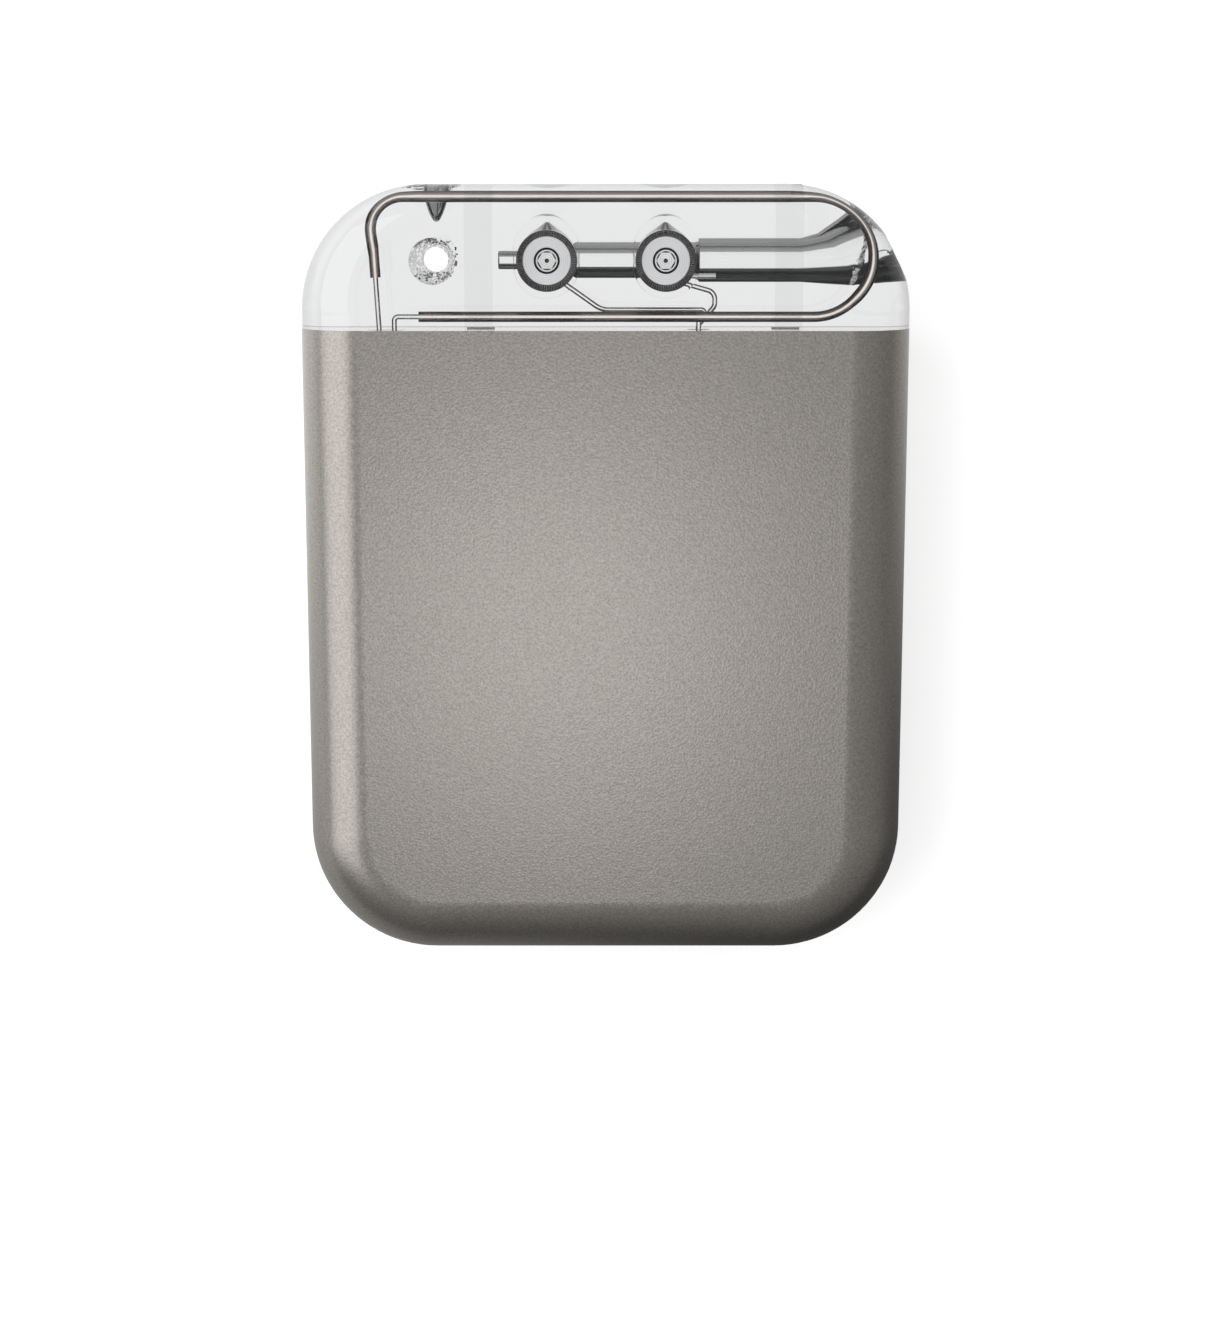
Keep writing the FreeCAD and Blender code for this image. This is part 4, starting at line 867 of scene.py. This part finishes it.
def bent_wire_tree():
    """geometry nodes: a round bar along corners, each bent to the radius kept at its corner"""
    tree, nodes, given, made = node_group(
        "bent_wire", "GeometryNodeTree",
        {"Geometry": "Geometry", "Wire Radius": "Float", "Material": "Material"},
        {"Geometry": "Geometry"})
    bend = nodes.new("GeometryNodeInputRadius")
    fillet = nodes.new("GeometryNodeFilletCurve")
    fillet.mode = "POLY"
    fillet.inputs["Count"].default_value = 24
    even = nodes.new("GeometryNodeSetCurveRadius")
    even.inputs["Radius"].default_value = 1.0
    round_bar = nodes.new("GeometryNodeCurvePrimitiveCircle")
    round_bar.inputs["Resolution"].default_value = 28
    sweep = nodes.new("GeometryNodeCurveToMesh")
    sweep.inputs["Fill Caps"].default_value = True
    real = nodes.new("GeometryNodeRealizeInstances")
    coat = nodes.new("GeometryNodeSetMaterial")
    linked(tree,
           (given.outputs["Geometry"], fillet.inputs["Curve"]),
           (bend.outputs[0], fillet.inputs["Radius"]),
           (fillet.outputs[0], even.inputs["Curve"]),
           (even.outputs[0], sweep.inputs["Curve"]),
           (given.outputs["Wire Radius"], round_bar.inputs["Radius"]),
           (round_bar.outputs["Curve"], sweep.inputs["Profile Curve"]),
           (sweep.outputs[0], real.inputs[0]),
           (real.outputs[0], coat.inputs["Geometry"]),
           (given.outputs["Material"], coat.inputs["Material"]),
           (coat.outputs[0], made.inputs[0]))
    return tree


bent_wire = bent_wire_tree()


def wire_piece(name, corners, diameter, material, node):
    """one bent wire through (x, y, z, bend) corners in millimetres"""
    piece = grown(polyline(name, corners), bent_wire,
                  {"Wire Radius": diameter / 2 * MM, "Material": material})
    for face in piece.data.polygons:
        face.use_smooth = len(face.vertices) == 4
    return finished(piece, material, [node])


def drawn(material, *stops):
    """paints a round's highlight along its middle and its shade towards both its edges; the stops are
    (slant, share of the colour)
    """
    shader = material.node_tree.nodes["Principled BSDF"]
    colour = shader.inputs["Base Color"].links[0].from_socket
    slant = add(material, "ShaderNodeLayerWeight", Blend=0.5)
    shade = graded(material, *stops)
    mixed = add(material, "ShaderNodeVectorMath", operation="MULTIPLY")
    linked(material.node_tree,
           (slant.outputs["Facing"], shade.inputs["Fac"]),
           (colour, mixed.inputs[0]),
           (shade.outputs["Color"], mixed.inputs[1]),
           (mixed.outputs[0], shader.inputs["Base Color"]))
    return material


# painted highlight and shade: the wires and pins are coloured bright along their middle and dark towards
# their edges
wire_painted_sheen = drawn(mottled("drawn_wire_painted_sheen", (0.97, 0.96, 0.95, 1.0), 0.5 * MM, 0.1,
                           Metallic=1.0, Roughness=0.12),
                   (0.001, 1.0), (0.08, 0.85), (0.24, 0.22), (0.5, 0.06), (0.99, 0.03))
# painted highlight and shade: the sleeve is pinkish white along its middle and dark brown towards its edges
sleeve_painted_sheen = drawn(mottled("brown_sleeve", (0.98, 0.88, 0.83, 1.0), 0.6 * MM, 0.15,
                             Metallic=0.95, Roughness=0.16),
                     (0.001, 1.0), (0.012, 0.9), (0.04, 0.28), (0.16, 0.17), (0.42, 0.06), (0.99, 0.04))

ANTENNA_LEVEL = 8.45
WIRE_DIAMETER, SLEEVE_DIAMETER = 0.38, 0.80
PIN_TOP = CASE_TOP + 0.15
FEED_LEFT, FEED_RIGHT = -17.21, -16.05
LOOP_LEFT, SLEEVE_END = -17.75, -14.2
LOOP_HIGH, LOOP_LOW = HEADER_TOP - 1.3, CASE_TOP + 1.0
LOOP_SIDE = HALF_WIDTH - 3.45
LOOP_BEND = (LOOP_HIGH - LOOP_LOW) / 2 - 0.1
loop = [(LOOP_LEFT, LOOP_HIGH, ANTENNA_LEVEL, 2.4),
        (LOOP_SIDE, LOOP_HIGH, ANTENNA_LEVEL, LOOP_BEND),
        (LOOP_SIDE, LOOP_LOW, ANTENNA_LEVEL, LOOP_BEND)]
wire_piece("antenna_wire_drawn",
           [(FEED_LEFT, PIN_TOP, ANTENNA_LEVEL, 0.0)] + loop
           + [(FEED_RIGHT, LOOP_LOW, ANTENNA_LEVEL, 0.3), (FEED_RIGHT, PIN_TOP, ANTENNA_LEVEL, 0.0)],
           WIRE_DIAMETER, wire_painted_sheen, "antenna_wire")
sleeve_level = CASE_TOP + 3.95
leg_share = (sleeve_level - PIN_TOP) / (LOOP_HIGH - PIN_TOP)
wire_piece("antenna_sleeve_extruded",
           [(FEED_LEFT + (LOOP_LEFT - FEED_LEFT) * leg_share, sleeve_level, ANTENNA_LEVEL, 0.0)] + loop
           + [(SLEEVE_END, LOOP_LOW, ANTENNA_LEVEL, 0.0)],
           SLEEVE_DIAMETER, sleeve_painted_sheen, "antenna_sleeve")

LEAD_FEED = 7.1
FRONT_WIRE, REAR_WIRE = 7.6, 6.4
EXIT_LEVEL = BORE_LEVEL - 1.7
wire_piece("pin_wire_drawn", [
    (PIN_BLOCK + 1.3, EXIT_LEVEL, FRONT_WIRE, 0.0),
    (PIN_BLOCK + 4.15, CASE_TOP + 1.5, FRONT_WIRE, 1.8),
    (LEAD_FEED + 0.65, CASE_TOP + 1.5, FRONT_WIRE, 0.22),
    (LEAD_FEED, CASE_TOP + 0.65, FRONT_WIRE, 0.22),
    (LEAD_FEED, PIN_TOP, FRONT_WIRE, 0.0),
], WIRE_DIAMETER, wire_painted_sheen, "pin_wire")
wire_piece("ring_wire_drawn", [
    (RING_BLOCK + 1.3, EXIT_LEVEL, REAR_WIRE, 0.0),
    (LEAD_FEED + 1.25, CASE_TOP + 2.8, REAR_WIRE, 0.7),
    (LEAD_FEED + 1.25, CASE_TOP + 1.75, REAR_WIRE, 0.7),
    (LEAD_FEED, CASE_TOP + 0.3, REAR_WIRE, 0.22),
    (LEAD_FEED, PIN_TOP, REAR_WIRE, 0.0),
], WIRE_DIAMETER, wire_painted_sheen, "ring_wire")

# Feedthroughs: titanium ferrules welded into the case's top wall, each round a fired ceramic that holds
# two pins. The pins and the strips' feet stand up into the epoxy.


def coat_node(node, material):
    """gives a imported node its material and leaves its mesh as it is"""
    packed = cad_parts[node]
    packed.data.materials.clear()
    packed.data.materials.append(material)


fired_ceramic = mottled("fired_ceramic", (0.82, 0.79, 0.73, 1.0), 0.4 * MM, 0.08, Roughness=0.35)
for node in ("antenna_ferrule", "lead_ferrule", "left_anchor", "right_anchor", "weld_band"):
    coat_node(node, titanium)
for node in ("antenna_insulator", "lead_insulator"):
    coat_node(node, fired_ceramic)
for node in ("antenna_pin_left", "antenna_pin_right", "lead_pin_front", "lead_pin_rear"):
    coat_node(node, wire_painted_sheen)

# Power: a sealed cell in a drawn can, wrapped below by an insulating tray and held down by a soft pad.
# Nickel tabs join it to the board.

cell_steel = mottled("drawn_cell", (0.50, 0.51, 0.52, 1.0), 0.8 * MM, 0.12, Metallic=1.0, Roughness=0.33)
liner_film = mottled("formed_liner", (0.74, 0.71, 0.62, 1.0), 2.0 * MM, 0.06, Roughness=0.5)
soft_pad = mottled("soft_pad", (0.24, 0.25, 0.27, 1.0), 0.3 * MM, 0.2, 0.03 * MM, Roughness=0.85)
nickel = mottled("rolled_nickel", (0.62, 0.58, 0.50, 1.0), 0.4 * MM, 0.15, Metallic=1.0, Roughness=0.3)
coat_node("battery", cell_steel)
coat_node("battery_liner", liner_film)
coat_node("battery_pad", soft_pad)
for node in ("positive_tab", "negative_tab", "crystal"):
    coat_node(node, nickel)

# Electronics: a laminate board on the pegs of a moulded nest, with packaged chips, capacitors, a wound
# ferrite and a glass magnet switch. An amber ribbon joins it to the feedthrough pins.

nest_plastic = mottled("moulded_nest", (0.70, 0.64, 0.50, 1.0), 1.5 * MM, 0.05, Roughness=0.5)
board_green = mottled("masked_laminate", (0.012, 0.105, 0.040, 1.0), 1.2 * MM, 0.35, Roughness=0.38)
chip_resin = mottled("chip_resin", (0.018, 0.018, 0.020, 1.0), 0.12 * MM, 0.5, 0.004 * MM, Roughness=0.55)
capacitor_body = mottled("capacitor_body", (0.30, 0.20, 0.11, 1.0), 0.3 * MM, 0.2, Roughness=0.45)
ferrite = mottled("pressed_ferrite", (0.05, 0.05, 0.055, 1.0), 0.2 * MM, 0.4, 0.01 * MM, Roughness=0.6)
ribbon_film = mottled("ribbon_film", (0.55, 0.20, 0.03, 1.0), 1.0 * MM, 0.15, Roughness=0.25)
switch_glass = mottled("switch_glass", (0.60, 0.74, 0.66, 1.0), 0.8 * MM, 0.08, Roughness=0.08,
                       Transmission_Weight=0.8, IOR=1.5)
for node, material in (("board_cradle", nest_plastic), ("circuit_board", board_green),
                       ("processor_chip", chip_resin), ("output_chip", chip_resin),
                       ("radio_chip", chip_resin), ("capacitors", capacitor_body),
                       ("inductor", ferrite), ("pin_flex", ribbon_film), ("magnet_switch", switch_glass)):
    coat_node(node, material)

# Floor: a plain white studio sweep, which stays white to the camera and in glass and still takes the
# part's soft shadow. Metal sees it brighter towards the left and beyond the header.

FLOOR_REACH = 1.5
SEEN_THROUGH = 0.84
floor_mesh = bpy.data.meshes.new("floor")
floor_mesh.from_pydata([(-FLOOR_REACH, -FLOOR_REACH, 0), (FLOOR_REACH, -FLOOR_REACH, 0),
                        (FLOOR_REACH, FLOOR_REACH, 0), (-FLOOR_REACH, FLOOR_REACH, 0)], [], [(0, 1, 2, 3)])
floor = bpy.data.objects.new("floor", floor_mesh)
floor.location.z = -0.02 * MM
bpy.context.collection.objects.link(floor)
floor_white, floor_shader = surface("floor_white", Base_Color=(0.9, 0.9, 0.9, 1.0), Roughness=0.8)
floor_mesh.materials.append(floor_white)
floor_ray = add(floor_white, "ShaderNodeLightPath")
glow = add(floor_white, "ShaderNodeMath", operation="MULTIPLY")
glow.inputs[1].default_value = 0.55
floor_place = add(floor_white, "ShaderNodeTexCoord")
floor_way = add(floor_white, "ShaderNodeVectorMath", operation="NORMALIZE")
floor_side = add(floor_white, "ShaderNodeVectorMath", operation="DOT_PRODUCT")
floor_side.inputs[1].default_value = (-0.32, 0.55, 0.0)
floor_level = add(floor_white, "ShaderNodeMath", operation="ADD")
floor_level.inputs[1].default_value = 0.72
mirrored = add(floor_white, "ShaderNodeEmission", Color=(1.0, 1.0, 1.0, 1.0))
reach = add(floor_white, "ShaderNodeVectorMath", operation="LENGTH")
fall = add(floor_white, "ShaderNodeMapRange", From_Min=30 * MM, From_Max=90 * MM,
           To_Min=SEEN_THROUGH, To_Max=0.55)
beneath = add(floor_white, "ShaderNodeEmission", Color=(1.0, 1.0, 1.0, 1.0))
split, sheen = (add(floor_white, "ShaderNodeMixShader") for _ in range(2))
floor_shader.inputs["Emission Color"].default_value = (1.0, 1.0, 1.0, 1.0)
linked(floor_white.node_tree,
       (floor_ray.outputs["Is Camera Ray"], glow.inputs[0]),
       (glow.outputs[0], floor_shader.inputs["Emission Strength"]),
       (floor_place.outputs["Object"], floor_way.inputs[0]),
       (floor_way.outputs[0], floor_side.inputs[0]),
       (floor_side.outputs["Value"], floor_level.inputs[0]),
       (floor_level.outputs[0], mirrored.inputs["Strength"]),
       (floor_place.outputs["Object"], reach.inputs[0]),
       (reach.outputs["Value"], fall.inputs["Value"]),
       (fall.outputs[0], beneath.inputs["Strength"]),
       (floor_ray.outputs["Is Glossy Ray"], sheen.inputs[0]),
       (floor_shader.outputs[0], sheen.inputs[1]),
       (mirrored.outputs[0], sheen.inputs[2]),
       (floor_ray.outputs["Is Transmission Ray"], split.inputs[0]),
       (sheen.outputs[0], split.inputs[1]),
       (beneath.outputs[0], split.inputs[2]),
       (split.outputs[0], floor_white.node_tree.nodes["Material Output"].inputs["Surface"]))

# Studio light: a small soft box overhead, a large one at the left, and a dim grey room all round that
# is brighter beyond the header. Glass doesn't see the boxes, so none shows as a white patch in it.

ROOM = 0.38
LIGHT_WAY = (-0.04, 0.24, 0.16)


def soft_box(name, place, aim, wide, high, power):
    """a rectangular lamp, its sides in metres, that faces its aim"""
    lamp = bpy.data.lights.new(name, "AREA")
    lamp.shape = "RECTANGLE"
    lamp.size = wide
    lamp.size_y = high
    lamp.energy = power
    box = bpy.data.objects.new(name, lamp)
    box.location = place
    box.visible_transmission = False
    box.rotation_euler = (Vector(aim) - Vector(place)).to_track_quat("-Z", "Y").to_euler()
    bpy.context.collection.objects.link(box)


soft_box("overhead_box", (-0.012, -0.074, 0.42), (0, 0, 0), 0.07, 0.07, 0.055)
soft_box("left_box", (-0.34, 0.05, 0.265), (0, 0, 0.005), 0.62, 0.45, 1.10)
room = bpy.data.worlds.new("studio")
room.use_nodes = True
bpy.context.scene.world = room
air = room.node_tree.nodes["Background"]
way = add(room, "ShaderNodeTexCoord")
slope = add(room, "ShaderNodeVectorMath", operation="DOT_PRODUCT")
slope.inputs[1].default_value = LIGHT_WAY
level = add(room, "ShaderNodeMath", operation="ADD", use_clamp=True)
level.inputs[1].default_value = ROOM
seen_ray = add(room, "ShaderNodeLightPath")
whole, brightest = (add(room, "ShaderNodeMath", operation="MAXIMUM") for _ in range(2))
behind = add(room, "ShaderNodeMath", operation="MULTIPLY")
behind.inputs[1].default_value = SEEN_THROUGH
linked(room.node_tree,
       (way.outputs["Generated"], slope.inputs[0]),
       (slope.outputs["Value"], level.inputs[0]),
       (level.outputs[0], whole.inputs[0]),
       (seen_ray.outputs["Is Camera Ray"], whole.inputs[1]),
       (seen_ray.outputs["Is Transmission Ray"], behind.inputs[0]),
       (whole.outputs[0], brightest.inputs[0]),
       (behind.outputs[0], brightest.inputs[1]),
       (brightest.outputs[0], air.inputs["Strength"]))
air.inputs["Color"].default_value = (1.0, 1.0, 1.0, 1.0)
bpy.context.scene.view_settings.view_transform = "Standard"

# Camera: it looks down on the part from over the header, tilted towards the case's bottom, as the
# photograph does.

CAMERA_PLACE = Vector((0, 0.02977, 0.19972))
CAMERA_WAY = Vector((0, -0.18522, -0.98270))
lens = bpy.data.cameras.new("camera")
lens.sensor_fit = "VERTICAL"
lens.sensor_height = 36.0
lens.lens = 67.97
lens.clip_start = 0.005
camera = bpy.data.objects.new("camera", lens)
right = Vector((1, 0, 0))
turn = Matrix((right, right.cross(CAMERA_WAY), -CAMERA_WAY)).transposed()
camera.location = CAMERA_PLACE
camera.rotation_euler = turn.to_euler()
bpy.context.collection.objects.link(camera)
bpy.context.scene.camera = camera
